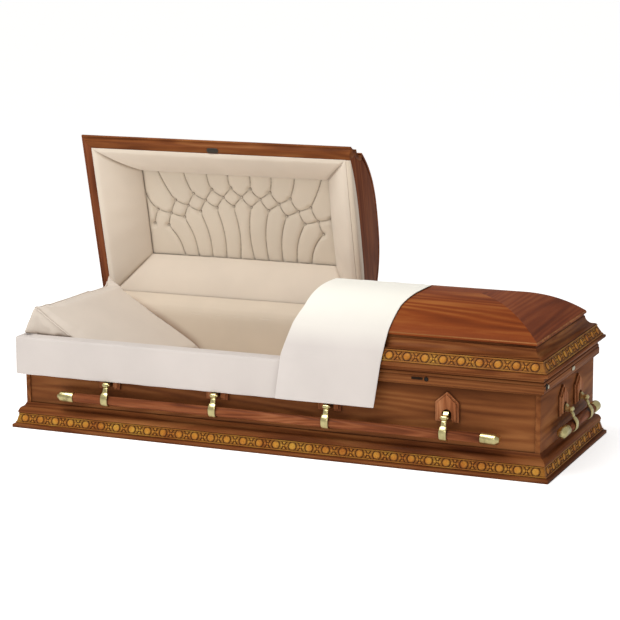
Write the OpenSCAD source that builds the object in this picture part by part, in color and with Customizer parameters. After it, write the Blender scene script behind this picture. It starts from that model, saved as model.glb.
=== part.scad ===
// Half-couch wooden casket: open head lid, closed foot lid, swing bar handles.
// Origin: centre of the base on the floor. +X foot end, -Y front, +Z up.

/* [Base] */
// Overall length of the base moulding
base_l = 2120; // [1700:10:2600]
// Overall width of the base moulding
base_w = 740; // [610:10:900]
// Height of the base moulding
base_h = 95; // [85:1:140]
// Depth of the base moulding, front to back
base_d = 50; // [46:1:70]

/* [Body] */
// How far the body stands in from the base moulding
body_inset = 43; // [36:1:60]
// Thickness of the side and end panels
panel_t = 18; // [12:1:30]
// How far the end panels stand proud of the side panels
post_proud = 4; // [2:1:10]
// Thickness of the floor board
floor_t = 18; // [10:1:24]
// Height of the top of the floor board
floor_top = 18; // [10:1:60]
// Height of the underside of the rim rail
rim_z = 300; // [240:5:400]
// Height of the rim rail
rim_h = 48; // [36:1:70]
// Width of the rim rail, outside to inside
rim_w = 50; // [40:1:70]
// How far the rim rail stands in from the lid's widest edge
rim_inset = 19; // [12:1:30]

/* [Lids] */
// How far the lids' widest edge stands in from the base's two ends
lip_in_l = 7; // [0:1:20]
// How far the lids' widest edge stands in from the base's two sides
lip_in_w = 9; // [0:1:20]
// Clear gap between the rim rail and a closed lid
lid_gap = 6; // [5:1:12]
// Height of the lid moulding
moulding_h = 112; // [100:1:150]
// How far the crown stands in from the lid's widest edge
crown_inset = 59; // [50:1:80]
// Rise of the crown's arch above its eave
crown_rise = 101; // [70:1:140]
// Thickness of the crown's eave
eave_h = 8; // [5:1:14]
// Thickness of the crown panel
crown_t = 14; // [10:1:20]
// Length of the hipped end of each crown
hip_l = 310; // [200:5:400]
// Roundness of the crown's arch, 2 is a parabola
arch_power = 2.6; // [2:0.1:4]
// Place of the cut between the two lids
split_x = 99; // [-100:1:200]
// Gap between the two lids
split_gap = 4; // [3:1:10]
// Thickness of the header board at each lid's cut end
header_t = 18; // [12:1:24]
// Angle that the head lid stands open
open_angle = 77.5; // [60:0.5:88]

/* [Handles] */
// Diameter of the wooden bars
bar_d = 34; // [26:1:40]
// Diameter of the brass caps
cap_d = 39; // [30:1:46]
// Distance of the bars from the panels
bar_out = 38; // [36:1:60]
// Height of the middle of the bars
bar_z = 138; // [125:1:150]
// Height of the handle pivots
pivot_z = 196; // [180:1:210]
// Distance of the handle pivots from the panels
pivot_out = 36; // [30:1:45]
// Length of a side bar without its caps
side_bar_l = 1606; // [1400:10:1900]
// Distance of the long side's handle from the middle, towards the foot end on the front
side_shift = 12; // [-30:1:30]
// Distance of the foot end's handle from the middle, towards the back
end_shift = 18; // [-30:1:30]
// Length of an end bar without its caps
end_bar_l = 320; // [240:5:400]
// Distance between two arms on a side bar
side_pitch = 445; // [350:5:500]
// Distance between the two arms on an end bar
end_pitch = 188; // [140:5:240]
// Width of the arms
arm_w = 29; // [24:1:36]
// Width of the fixed lugs
lug_w = 19; // [12:1:22]
// Width of a shield plate
shield_w = 88; // [70:1:110]
// Height of a shield plate
shield_h = 108; // [90:1:130]
// Thickness of a shield plate
shield_t = 14; // [10:1:16]
// Height of the lower edge of the shield plates
shield_z = 176; // [160:1:190]

/* [Linings] */
// Thickness of the lining on the inner walls
lining_t = 8; // [4:1:15]
// Height of the top of the mattress
bed_z = 180; // [120:5:220]
// Height of the tufted panel above the lid's underside
cap_rise = 116; // [80:1:130]
// Thickness of the tufted panel
cap_t = 20; // [10:1:30]
// Width of the padded frame at the head end
puff_head = 149; // [110:1:180]
// Width of the padded frame at the cut end
puff_cut = 127; // [100:1:160]
// Width of the padded frame along the front
puff_front = 125; // [100:1:150]
// Width of the padded frame along the back
puff_back = 143; // [110:1:160]
// Thickness of the padded frame round the tufted panel
puff_t = 16; // [10:1:24]
// Height of the lower edge of the front skirt
skirt_z = 206; // [190:1:230]
// Thickness of the skirt and the throw
cloth_t = 3; // [2:1:5]
// Width of the throw along the lid
throw_l = 338; // [200:5:450]
// Height of the lower edge of the throw
throw_z = 209; // [190:1:240]

/* [Hidden] */

walnut = "#7a3f22";
amber = "#b9772c";
brass = "#b8a66a";
cream = "#d9c9b2";
white = "#f2eee6";

fit = 0.3;
big = 4000;
round_fn = 32;

base_hl = base_l / 2;
base_hw = base_w / 2;
body_hl = base_hl - body_inset;
body_hw = base_hw - body_inset;
side_face = body_hw - post_proud;
lip_hl = base_hl - lip_in_l;
lip_hw = base_hw - lip_in_w;
rim_hl = lip_hl - rim_inset;
rim_hw = lip_hw - rim_inset;
rim_top = rim_z + rim_h;
open_hl = rim_hl - rim_w;
open_hw = rim_hw - rim_w;
lid_z = rim_top + lid_gap;
crown_z = lid_z + moulding_h;
crown_hl = lip_hl - crown_inset;
crown_hw = lip_hw - crown_inset;
head_cut = split_x - split_gap / 2;
foot_cut = split_x + split_gap / 2;

// Hinge line, just outside the rim rail at the back.
knuckle_r = 6;
hinge_y = rim_hw + 8;
hinge_z = rim_top + lid_gap / 2;
leaf_t = 2;
hinge_l = 90;
head_hinges = [-840, -330];
foot_hinges = [330, 840];

// ---------- profiles: [inset from the outer edge, height] ----------

function arc(cx, cz, r, a0, a1, n) =
  [for (i = [0:n]) let (a = a0 + (a1 - a0) * i / n) [cx + r * cos(a), cz + r * sin(a)]];

band_lo = 18;
band_hi = 54;
band_t = 4;
ogee_in = 17;
ogee_lo = 61;
ogee = [
  for (i = [0:10])
    let (t = i / 10)
      [ogee_in + (body_inset - ogee_in) * t, ogee_lo + (base_h - ogee_lo) * (t + 0.12 * sin(360 * t))]
];
base_profile = concat(
  [[0, 0], [0, 12], [7, 15], [9 + band_t, band_lo], [19 + band_t, band_hi], [ogee_in, 56]],
  ogee,
  [[base_d, base_h], [base_d, 0]]
);
base_band_profile = [
  [9, band_lo], [9 + band_t - fit / 3, band_lo],
  [19 + band_t - fit / 3, band_hi], [19, band_hi]
];
rim_profile = [
  [0, 9], [0, 34], [2.5, 35], [2.5, 37], [1, 38], [3, rim_h - 3], [6, rim_h],
  [rim_w, rim_h], [rim_w, 0], [10, 0], [10, 4]
];
bead_lo = 13;
bead_hi = 25;
lid_band_lo = 28;
lid_band_hi = 66;
frame_in = 46;
moulding_in = 84;
moulding_profile = concat(
  [[22, 0]],
  arc(-1, -6, 23, 15, 62, 5),
  [[4, bead_lo], [1, bead_lo + 1], [0, bead_lo + 4], [0, bead_hi - 4], [1, bead_hi - 1], [5, bead_hi]],
  [[7 + band_t, lid_band_lo], [27 + band_t, lid_band_hi], [27, 69], [42, 72]],
  arc(28, 104, 35, -66, -4, 7),
  [[66, 104], [66, moulding_h], [moulding_in, moulding_h], [moulding_in, 96], [64, 62],
   [frame_in, 44], [frame_in, 0]]
);
lid_band_profile = [
  [7, lid_band_lo], [7 + band_t - fit / 3, lid_band_lo],
  [27 + band_t - fit / 3, lid_band_hi], [27, lid_band_hi]
];

// ---------- mitred lengths ----------

// A profile run along X on the front side, and along Y on the foot side.
module run_x(x0, x1, hw, profile) {
  translate([x0, 0, 0]) rotate([90, 0, 90]) linear_extrude(x1 - x0)
    polygon([for (p = profile) [-(hw - p[0]), p[1]]]);
}
module run_y(hl, hw, profile) {
  translate([0, hw, 0]) rotate([90, 0, 0]) linear_extrude(2 * hw)
    polygon([for (p = profile) [hl - p[0], p[1]]]);
}
// The plan of a mitred length: square at x0 or x1 where square0 or square1 says so.
module plan_x(x0, x1, hw, depth, h, square0 = false, square1 = false) {
  linear_extrude(h) polygon([
    [x0, -hw], [x1, -hw],
    [x1 - (square1 ? 0 : depth), depth - hw], [x0 + (square0 ? 0 : depth), depth - hw]
  ]);
}
module plan_y(hl, hw, depth, h) {
  linear_extrude(h) polygon([
    [hl, -hw], [hl, hw], [hl - depth, hw - depth], [hl - depth, depth - hw]
  ]);
}
module length_x(x0, x1, hw, profile, depth, h, square0 = false, square1 = false) {
  intersection() {
    run_x(x0, x1, hw, profile);
    plan_x(x0, x1, hw, depth, h, square0, square1);
  }
}
module length_y(hl, hw, profile, depth, h) {
  intersection() {
    run_y(hl, hw, profile);
    plan_y(hl, hw, depth, h);
  }
}
module to_back() { mirror([0, 1, 0]) children(); }
module to_head() { mirror([1, 0, 0]) children(); }

// ---------- body ----------

module floor_board() {
  color(walnut) translate([-body_hl + panel_t, -side_face + panel_t, floor_top - floor_t])
    cube([2 * (body_hl - panel_t), 2 * (side_face - panel_t), floor_t]);
}
module side_panel() {
  color(walnut) translate([-body_hl + panel_t, -side_face, 0])
    cube([2 * (body_hl - panel_t), panel_t, rim_z]);
}
module front_panel() { side_panel(); }
module back_panel() { to_back() side_panel(); }
module foot_panel() {
  color(walnut) translate([body_hl - panel_t, -body_hw, 0]) cube([panel_t, 2 * body_hw, rim_z]);
}
module head_panel() { to_head() foot_panel(); }

// The space inside the panels' outer faces, where the base mouldings are planted.
module body_block() {
  translate([-body_hl, -body_hw, -1]) cube([2 * body_hl, 2 * body_hw, base_h + 2]);
}
module base_length_x() {
  color(walnut) difference() {
    length_x(-base_hl, base_hl, base_hw, base_profile, base_d, base_h);
    body_block();
  }
}
module base_length_y() {
  color(walnut) difference() {
    length_y(base_hl, base_hw, base_profile, base_d, base_h);
    body_block();
  }
}
module base_front() { base_length_x(); }
module base_back() { to_back() base_length_x(); }
module base_foot() { base_length_y(); }
module base_head() { to_head() base_length_y(); }
module base_band() {
  color(amber) {
    for (side = [0, 1]) mirror([0, side, 0])
      length_x(-base_hl, base_hl, base_hw, base_band_profile, base_d, base_h);
    for (end = [0, 1]) mirror([end, 0, 0])
      length_y(base_hl, base_hw, base_band_profile, base_d, base_h);
  }
}

module rim_length_x() {
  color(walnut) translate([0, 0, rim_z])
    length_x(-rim_hl, rim_hl, rim_hw, rim_profile, rim_w, rim_h);
}
module rim_length_y() {
  color(walnut) translate([0, 0, rim_z]) length_y(rim_hl, rim_hw, rim_profile, rim_w, rim_h);
}
module rim_front() { rim_length_x(); }
module rim_back() { to_back() rim_length_x(); }
module rim_foot() { rim_length_y(); }
module rim_head() { to_head() rim_length_y(); }

// ---------- lids, drawn closed ----------

// The head lid and all it carries turn back about the hinge line.
module opened() {
  translate([0, hinge_y, hinge_z]) rotate([-open_angle, 0, 0])
    translate([0, -hinge_y, -hinge_z]) children();
}
module lid_length_x(cut, profile) {
  translate([0, 0, lid_z])
    length_x(cut, lip_hl, lip_hw, profile, moulding_in, moulding_h, square0 = true);
}
module lid_length_y(profile) {
  translate([0, 0, lid_z]) length_y(lip_hl, lip_hw, profile, moulding_in, moulding_h);
}
module lid_band(cut) {
  color(amber) {
    for (side = [0, 1]) mirror([0, side, 0]) lid_length_x(cut, lid_band_profile);
    lid_length_y(lid_band_profile);
  }
}

arch_steps = 16;
function arch(u, h) = h * (1 - pow(abs(u), arch_power));
// The arched section across the lid and the hipped section along it.
function across(hw, base, h) = concat(
  [for (i = [-arch_steps:arch_steps]) let (u = i / arch_steps) [u * hw, base + arch(u, h)]],
  [[hw, -1], [-hw, -1]]
);
function along(cut, hl, hip, base, h) = concat(
  [[cut, -1], [cut, base + h]],
  [for (i = [0:arch_steps]) let (u = i / arch_steps) [hl - hip + u * hip, base + arch(u, h)]],
  [[hl, -1]]
);
module dome(cut, hl, hw, hip, base, h) {
  intersection() {
    translate([cut - 1, 0, 0]) rotate([90, 0, 90]) linear_extrude(hl - cut + 2)
      polygon(across(hw, base, h));
    translate([0, hw + 1, 0]) rotate([90, 0, 0]) linear_extrude(2 * hw + 2)
      polygon(along(cut, hl, hip, base, h));
  }
}
crown_wall = crown_t * 1.3;
inner_hl = crown_hl - crown_wall;
inner_hw = crown_hw - crown_wall;
module crown(cut) {
  color(walnut) translate([0, 0, crown_z]) difference() {
    intersection() {
      dome(cut, crown_hl, crown_hw, hip_l, eave_h, crown_rise);
      translate([cut, -crown_hw - 1, 0])
        cube([crown_hl - cut + 1, 2 * crown_hw + 2, crown_rise + eave_h + 1]);
    }
    dome(cut - 2, inner_hl, inner_hw, hip_l, 0, crown_rise + eave_h - crown_t);
  }
}
// The board that closes a lid's cut end, inside the mouldings and under the crown.
header_half = [
  [lip_hw - frame_in, 0], [lip_hw - frame_in, 44], [lip_hw - 64, 62],
  [lip_hw - moulding_in, 96], [lip_hw - moulding_in, moulding_h]
];
header_arch = [
  for (i = [arch_steps:-1:-arch_steps])
    let (u = i / arch_steps)
      [u * (lip_hw - moulding_in),
       moulding_h - 2 * fit + arch(u * (lip_hw - moulding_in) / inner_hw, crown_rise + eave_h - crown_t)]
];
module header(cut) {
  color(walnut) translate([cut, 0, lid_z]) rotate([90, 0, 90]) linear_extrude(header_t)
    polygon(concat(
      header_half,
      header_arch,
      [for (i = [4:-1:0]) [-header_half[i][0], header_half[i][1]]]
    ));
}

module foot_lid_crown() { crown(foot_cut); }
module foot_lid_front() { color(walnut) lid_length_x(foot_cut, moulding_profile); }
module foot_lid_back() { to_back() foot_lid_front(); }
module foot_lid_end() { color(walnut) lid_length_y(moulding_profile); }
module foot_lid_band() { lid_band(foot_cut); }
module foot_lid_header() { header(foot_cut); }
module foot_lid_lining() {
  color(cream) translate([foot_cut + header_t + fit, -(lip_hw - frame_in - fit), lid_z + 4])
    cube([lip_hl - frame_in - foot_cut - header_t - 2 * fit, 2 * (lip_hw - frame_in - fit), 8]);
}

module head_lid_crown() { opened() to_head() crown(-head_cut); }
module head_lid_front() { opened() to_head() color(walnut) lid_length_x(-head_cut, moulding_profile); }
module head_lid_back() {
  opened() to_head() to_back() color(walnut) lid_length_x(-head_cut, moulding_profile);
}
module head_lid_end() { opened() to_head() color(walnut) lid_length_y(moulding_profile); }
module head_lid_band() { opened() to_head() lid_band(-head_cut); }
module head_lid_header() { opened() to_head() header(-head_cut); }

// The bronze catch let into the underside of the head lid's front rail.
catch_x = -474;
catch_l = 50;
catch_w = 20;
catch_t = 1.5;
module head_lid_catch() {
  opened() color("#4a4438") translate([catch_x, -(lip_hw - 22 - catch_w / 2 - 2), lid_z - catch_t])
    linear_extrude(catch_t) {
      square([catch_l - catch_w, catch_w], center = true);
      for (end = [-1, 1]) translate([end * (catch_l - catch_w) / 2, 0]) circle(d = catch_w, $fn = round_fn);
    }
}

// The padded frame inside the head lid, sloping in to the tufted panel.
puff_x0 = -(lip_hl - frame_in - fit);
puff_x1 = head_cut - header_t - fit;
puff_hw = lip_hw - frame_in - fit;
module slopes(t) {
  x0 = puff_x0 + t;
  x1 = puff_x1 - t;
  hw = puff_hw - t;
  back = puff_t - t;
  intersection() {
    translate([0, 2 * puff_hw, 0]) rotate([90, 0, 0]) linear_extrude(4 * puff_hw) polygon([
      [x0, 0], [x1, 0],
      [puff_x1 - puff_cut + back, cap_rise], [puff_x0 + puff_head - back, cap_rise]
    ]);
    translate([2 * puff_x0, 0, 0]) rotate([90, 0, 90]) linear_extrude(-4 * puff_x0) polygon([
      [-hw, 0], [hw, 0],
      [puff_hw - puff_back + back, cap_rise], [-puff_hw + puff_front - back, cap_rise]
    ]);
  }
}
module head_lid_puffing() {
  opened() color(cream) translate([0, 0, lid_z + fit]) difference() {
    slopes(0);
    slopes(puff_t);
  }
}
module head_lid_cap_panel() {
  opened() color(cream)
    translate([puff_x0 + puff_head - puff_t, -puff_hw + puff_front - puff_t, lid_z + cap_rise + 2 * fit])
      cube([
        puff_x1 - puff_x0 - puff_head - puff_cut + 2 * puff_t,
        2 * puff_hw - puff_front - puff_back + 2 * puff_t,
        cap_t
      ]);
}

// ---------- hinges ----------

knuckles = 5;
knuckle_l = hinge_l / knuckles;
pin_r = 2.5;
leaf_w = 28;
module knuckle_run(first) {
  for (i = [first:2:knuckles - 1])
    translate([i * knuckle_l + fit / 2 - hinge_l / 2, 0, 0]) rotate([0, 90, 0])
      cylinder(r = knuckle_r, h = knuckle_l - fit, $fn = round_fn);
}
module hinge_tabs(first, z) {
  for (i = [first:2:knuckles - 1])
    translate([i * knuckle_l + fit / 2 - hinge_l / 2, -knuckle_r - 4, z])
      cube([knuckle_l - fit, knuckle_r + 4, leaf_t]);
}
module body_leaf() {
  z = rim_top - hinge_z;
  translate([-hinge_l / 2, -knuckle_r - 4 - leaf_w, z]) cube([hinge_l, leaf_w, leaf_t]);
  hinge_tabs(0, z);
  knuckle_run(0);
  translate([-hinge_l / 2, 0, 0]) rotate([0, 90, 0]) cylinder(r = pin_r, h = hinge_l, $fn = round_fn);
}
module lid_leaf() {
  z = lid_z - hinge_z - leaf_t;
  difference() {
    union() {
      translate([-hinge_l / 2, -knuckle_r - 4 - leaf_w, z]) cube([hinge_l, leaf_w, leaf_t]);
      hinge_tabs(1, z);
      knuckle_run(1);
    }
    translate([-hinge_l, 0, 0]) rotate([0, 90, 0])
      cylinder(r = pin_r + fit, h = 2 * hinge_l, $fn = round_fn);
  }
}
module hinge_body_leaves() {
  color(brass) for (x = concat(head_hinges, foot_hinges)) translate([x, hinge_y, hinge_z]) body_leaf();
}
module hinge_head_leaves() {
  opened() color(brass) for (x = head_hinges) translate([x, hinge_y, hinge_z]) lid_leaf();
}
module hinge_foot_leaves() {
  color(brass) for (x = foot_hinges) translate([x, hinge_y, hinge_z]) lid_leaf();
}

// ---------- handles, drawn on a panel face at y = 0 with the room side at -y ----------

pin_d = 6;
lug_r = 8;
ring_t = 3.5;
notch_r = 16.5;
notch_h = 46;
cap_l = 68;
cap_tip = 14;
shoulder_h = 70;
side_arms = [-1.5 * side_pitch, -0.5 * side_pitch, 0.5 * side_pitch, 1.5 * side_pitch];
end_arms = [-0.5 * end_pitch, 0.5 * end_pitch];

module on_front() { translate([0, -side_face, 0]) children(); }
module on_back() { rotate([0, 0, 180]) on_front() children(); }
module on_foot() { rotate([0, 0, 90]) translate([0, -body_hl, 0]) children(); }
module on_head() { rotate([0, 0, 180]) on_foot() children(); }

module shield_outline(inset) {
  w = shield_w / 2 - inset;
  polygon([
    [-w, inset], [w, inset], [w, shoulder_h - inset / 2],
    [0, shield_h - 1.2 * inset], [-w, shoulder_h - inset / 2]
  ]);
}
module shield() {
  translate([0, 0, shield_z]) rotate([90, 0, 0]) difference() {
    union() {
      linear_extrude(shield_t - 6) shield_outline(0);
      linear_extrude(shield_t) shield_outline(8);
    }
    translate([0, notch_h - notch_r, -1]) cylinder(r = notch_r, h = shield_t + 2, $fn = round_fn);
    translate([-notch_r, -1, -1]) cube([2 * notch_r, notch_h - notch_r + 1, shield_t + 2]);
  }
}
// Shapes drawn as [distance out from the panel, height] and run along the bar.
module outward(w) {
  translate([-w / 2, 0, 0]) rotate([90, 0, 90]) linear_extrude(w) mirror([1, 0, 0]) children();
}
module lug() {
  outward(lug_w) {
    polygon([
      [0, pivot_z - 6], [0, pivot_z + 18], [pivot_out - 18, pivot_z + 18],
      [pivot_out - 11, pivot_z + 9], [pivot_out + 2, pivot_z + 7.5], [pivot_out - 4, pivot_z - 7]
    ]);
    translate([pivot_out, pivot_z]) circle(r = lug_r, $fn = round_fn);
  }
  outward(arm_w) translate([pivot_out, pivot_z]) circle(d = pin_d, $fn = round_fn);
}
module arm() {
  difference() {
    outward(arm_w) difference() {
      union() {
        translate([pivot_out, pivot_z]) circle(r = lug_r, $fn = round_fn);
        polygon([
          [pivot_out - 3, pivot_z - 6], [pivot_out + 8, pivot_z], [bar_out + 7, pivot_z - 18],
          [bar_out + bar_d / 2 + ring_t - 3, bar_z + 12], [bar_out, bar_z + bar_d / 2],
          [bar_out - 4, pivot_z - 22]
        ]);
        translate([bar_out, bar_z]) circle(r = bar_d / 2 + ring_t, $fn = round_fn);
      }
      translate([pivot_out, pivot_z]) circle(d = pin_d + 2 * fit, $fn = round_fn);
      translate([bar_out, bar_z]) circle(d = bar_d + fit, $fn = round_fn);
    }
    outward(lug_w + 4 * fit) {
      translate([pivot_out, pivot_z]) circle(r = lug_r + fit, $fn = round_fn);
      translate([pivot_out - 30, pivot_z - lug_r]) square([30, 3 * lug_r]);
    }
  }
}
module bar(l) {
  outward(l) translate([bar_out, bar_z]) circle(d = bar_d, $fn = round_fn);
}
module bar_cap(l) {
  translate([l / 2, -bar_out, bar_z]) rotate([0, 90, 0]) {
    cylinder(d = cap_d, h = cap_l - cap_tip, $fn = round_fn);
    translate([0, 0, cap_l - cap_tip]) cylinder(d1 = cap_d, d2 = cap_d * 0.55, h = cap_tip, $fn = round_fn);
  }
}
module shifted(x) { translate([x, 0, 0]) children(); }
module along_bar(places) { for (x = places) translate([x, 0, 0]) children(); }
module shields(places) { color(walnut) along_bar(places) shield(); }
module lugs(places) { color(brass) along_bar(places) lug(); }
module arms(places) { color(brass) along_bar(places) arm(); }
module wood_bar(l) { color(walnut) bar(l); }
module caps(l) { color(brass) for (end = [0, 1]) mirror([end, 0, 0]) bar_cap(l); }

module front_shields() { on_front() shifted(side_shift) shields(side_arms); }
module front_lugs() { on_front() shifted(side_shift) lugs(side_arms); }
module front_arms() { on_front() shifted(side_shift) arms(side_arms); }
module front_bar() { on_front() shifted(side_shift) wood_bar(side_bar_l); }
module front_bar_caps() { on_front() shifted(side_shift) caps(side_bar_l); }
module back_shields() { on_back() shifted(side_shift) shields(side_arms); }
module back_lugs() { on_back() shifted(side_shift) lugs(side_arms); }
module back_arms() { on_back() shifted(side_shift) arms(side_arms); }
module back_bar() { on_back() shifted(side_shift) wood_bar(side_bar_l); }
module back_bar_caps() { on_back() shifted(side_shift) caps(side_bar_l); }
module head_shields() { on_head() shifted(end_shift) shields(end_arms); }
module head_lugs() { on_head() shifted(end_shift) lugs(end_arms); }
module head_arms() { on_head() shifted(end_shift) arms(end_arms); }
module head_bar() { on_head() shifted(end_shift) wood_bar(end_bar_l); }
module head_bar_caps() { on_head() shifted(end_shift) caps(end_bar_l); }
module foot_shields() { on_foot() shifted(end_shift) shields(end_arms); }
module foot_lugs() { on_foot() shifted(end_shift) lugs(end_arms); }
module foot_arms() { on_foot() shifted(end_shift) arms(end_arms); }
module foot_bar() { on_foot() shifted(end_shift) wood_bar(end_bar_l); }
module foot_bar_caps() { on_foot() shifted(end_shift) caps(end_bar_l); }

// ---------- small fittings ----------

lock_x = 572;
lock_l = 42;
lock_w = 9;
plug_y = -300;
plug_d = 15;
end_cap_l = 34;
end_cap_w = 14;
fitting_z = rim_z + 26;
module lock_plate() {
  color(brass) translate([lock_x, -rim_hw, fitting_z]) rotate([90, 0, 0]) linear_extrude(1.5)
    square([lock_l, lock_w], center = true);
}
module end_fittings() {
  color(brass) {
    translate([rim_hl, plug_y, fitting_z]) rotate([0, 90, 0]) cylinder(d = plug_d, h = 3, $fn = round_fn);
    translate([rim_hl, 0, fitting_z]) rotate([90, 0, 90]) linear_extrude(3) {
      square([end_cap_l - end_cap_w, end_cap_w], center = true);
      for (side = [-1, 1])
        translate([side * (end_cap_l - end_cap_w) / 2, 0]) circle(d = end_cap_w, $fn = round_fn);
    }
  }
}

// ---------- soft pieces ----------

lining_z = floor_top + fit;
module body_lining() {
  color(cream) difference() {
    translate([-open_hl + fit, -open_hw + fit, lining_z])
      cube([2 * (open_hl - fit), 2 * (open_hw - fit), rim_top - lining_z]);
    translate([-open_hl + fit + lining_t, -open_hw + fit + lining_t, lining_z - 1])
      cube([2 * (open_hl - fit - lining_t), 2 * (open_hw - fit - lining_t), rim_top]);
  }
}
bed_hl = open_hl - lining_t - 2 * fit;
bed_hw = open_hw - lining_t - 2 * fit;
module mattress() {
  color(cream) translate([-bed_hl, -bed_hw, lining_z]) cube([2 * bed_hl, 2 * bed_hw, bed_z - lining_z]);
}
pillow_l = 480;
pillow_rise = 270;
module pillow() {
  color(cream) translate([-bed_hl, bed_hw, bed_z + fit]) rotate([90, 0, 0]) linear_extrude(2 * bed_hw)
    polygon([
      [0, 0], [0, pillow_rise - 12], [16, pillow_rise], [50, pillow_rise - 12],
      [0.45 * pillow_l, 0.55 * pillow_rise], [0.9 * pillow_l, 24], [pillow_l, 0]
    ]);
}

// The skirt lies on the rim rail and hangs outside it over the shields and lugs.
skirt_out = 11;
skirt_in = cloth_t;
skirt_top = rim_top + fit + cloth_t;
skirt_edge = skirt_out + rim_w - fit;
skirt_profile = [
  [0, skirt_z], [0, skirt_top - 4], [4, skirt_top], [skirt_edge, skirt_top],
  [skirt_edge, rim_top + fit], [skirt_in + 2, rim_top + fit], [skirt_in, rim_top - 3],
  [skirt_in, skirt_z]
];
module rim_skirt() {
  hl = rim_hl + skirt_out;
  hw = rim_hw + skirt_out;
  color(white) {
    length_x(-hl, head_cut - 2, hw, skirt_profile, rim_w + skirt_out, skirt_top, square1 = true);
    to_head() intersection() {
      length_y(hl, hw, skirt_profile, rim_w + skirt_out, skirt_top);
      translate([0, -big, 0]) cube([big, big + open_hw, big]);
    }
  }
}

// The throw follows the lid's section from the crown's ridge down past the front.
throw_gap = 0.5;
throw_back = 0.18;
throw_x = foot_cut + 3;
function throw_line(g) = concat(
  [[lip_hw + g, throw_z], [lip_hw + g, lid_z + bead_hi + 2]],
  [[lip_hw - 6 + g, lid_z + lid_band_lo + 1], [lip_hw - 26 + g, lid_z + lid_band_hi + 1]],
  [[crown_hw + g, crown_z], [crown_hw + g, crown_z + eave_h]],
  [
    for (i = [1:arch_steps])
      let (u = 1 - i / arch_steps) [u * crown_hw + g * u, crown_z + eave_h + g + arch(u, crown_rise)]
  ],
  [[-throw_back * crown_hw, crown_z + eave_h + g + arch(throw_back, crown_rise)]]
);
module throw() {
  inner = throw_line(throw_gap);
  outer = throw_line(throw_gap + cloth_t);
  n = len(outer);
  color(white) translate([throw_x, 0, 0]) rotate([90, 0, 90]) linear_extrude(throw_l)
    mirror([1, 0, 0]) polygon(concat(inner, [for (i = [n - 1:-1:0]) outer[i]]));
}

floor_board();
front_panel();
back_panel();
head_panel();
foot_panel();
base_front();
base_back();
base_head();
base_foot();
base_band();
rim_front();
rim_back();
rim_head();
rim_foot();
head_lid_crown();
head_lid_front();
head_lid_back();
head_lid_end();
head_lid_band();
head_lid_header();
head_lid_catch();
head_lid_puffing();
head_lid_cap_panel();
foot_lid_crown();
foot_lid_front();
foot_lid_back();
foot_lid_end();
foot_lid_band();
foot_lid_header();
foot_lid_lining();
hinge_body_leaves();
hinge_head_leaves();
hinge_foot_leaves();
front_shields();
front_lugs();
front_arms();
front_bar();
front_bar_caps();
back_shields();
back_lugs();
back_arms();
back_bar();
back_bar_caps();
head_shields();
head_lugs();
head_arms();
head_bar();
head_bar_caps();
foot_shields();
foot_lugs();
foot_arms();
foot_bar();
foot_bar_caps();
lock_plate();
end_fittings();
body_lining();
mattress();
pillow();
rim_skirt();
throw();
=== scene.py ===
import bmesh
import bpy
import math
import random
import numpy as np
from mathutils import Matrix, Vector
from mathutils.bvhtree import BVHTree


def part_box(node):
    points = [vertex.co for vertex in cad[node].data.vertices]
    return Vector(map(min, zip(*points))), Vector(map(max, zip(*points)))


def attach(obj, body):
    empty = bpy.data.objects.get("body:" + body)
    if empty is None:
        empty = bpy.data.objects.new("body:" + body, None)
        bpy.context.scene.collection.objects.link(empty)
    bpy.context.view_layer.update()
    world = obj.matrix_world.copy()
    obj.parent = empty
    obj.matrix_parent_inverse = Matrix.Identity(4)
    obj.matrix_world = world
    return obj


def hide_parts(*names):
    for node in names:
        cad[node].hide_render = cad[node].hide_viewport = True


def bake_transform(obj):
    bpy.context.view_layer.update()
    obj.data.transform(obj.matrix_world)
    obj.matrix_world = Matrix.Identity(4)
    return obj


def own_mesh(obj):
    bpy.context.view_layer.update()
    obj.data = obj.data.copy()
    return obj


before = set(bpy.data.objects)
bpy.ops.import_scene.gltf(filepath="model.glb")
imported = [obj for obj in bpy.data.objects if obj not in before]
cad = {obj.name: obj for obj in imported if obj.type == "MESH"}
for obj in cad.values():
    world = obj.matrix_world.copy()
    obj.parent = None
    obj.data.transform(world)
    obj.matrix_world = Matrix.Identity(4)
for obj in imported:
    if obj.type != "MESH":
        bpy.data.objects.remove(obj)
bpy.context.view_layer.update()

# Room: a white floor, one big softbox above and in front, and a smaller fill
# from the foot end. The camera stands low, in front of the foot half.
scene = bpy.context.scene
scene.view_settings.view_transform = "Standard"


def stood(name, data):
    """A new object in the scene, holding this mesh, lamp or camera."""
    thing = bpy.data.objects.new(name, data)
    scene.collection.objects.link(thing)
    return thing


camera_data = bpy.data.cameras.new("camera")
camera_data.lens, camera_data.sensor_width = 123.7, 36
camera = stood("camera", camera_data)
azimuth, elevation, roll = (math.radians(a) for a in (23.45, 11.58, -0.51))
ahead = Vector((-math.sin(azimuth) * math.cos(elevation),
                math.cos(azimuth) * math.cos(elevation), -math.sin(elevation)))
level = Vector((math.cos(azimuth), math.sin(azimuth), 0))
above = level.cross(ahead)
side = level * math.cos(roll) + above * math.sin(roll)
top = above * math.cos(roll) - level * math.sin(roll)
camera.matrix_world = Matrix.Translation((3.1095, -7.1251, 2.0540)) @ Matrix(
    (side, top, -ahead)).transposed().to_4x4()
scene.camera = camera


def join(tree, node, inputs):
    """Sets the node's inputs, each to a value or to another node's socket."""
    for label, given in inputs.items():
        if isinstance(given, bpy.types.NodeSocket):
            tree.links.new(given, node.inputs[label])
        else:
            node.inputs[label].default_value = given


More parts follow.
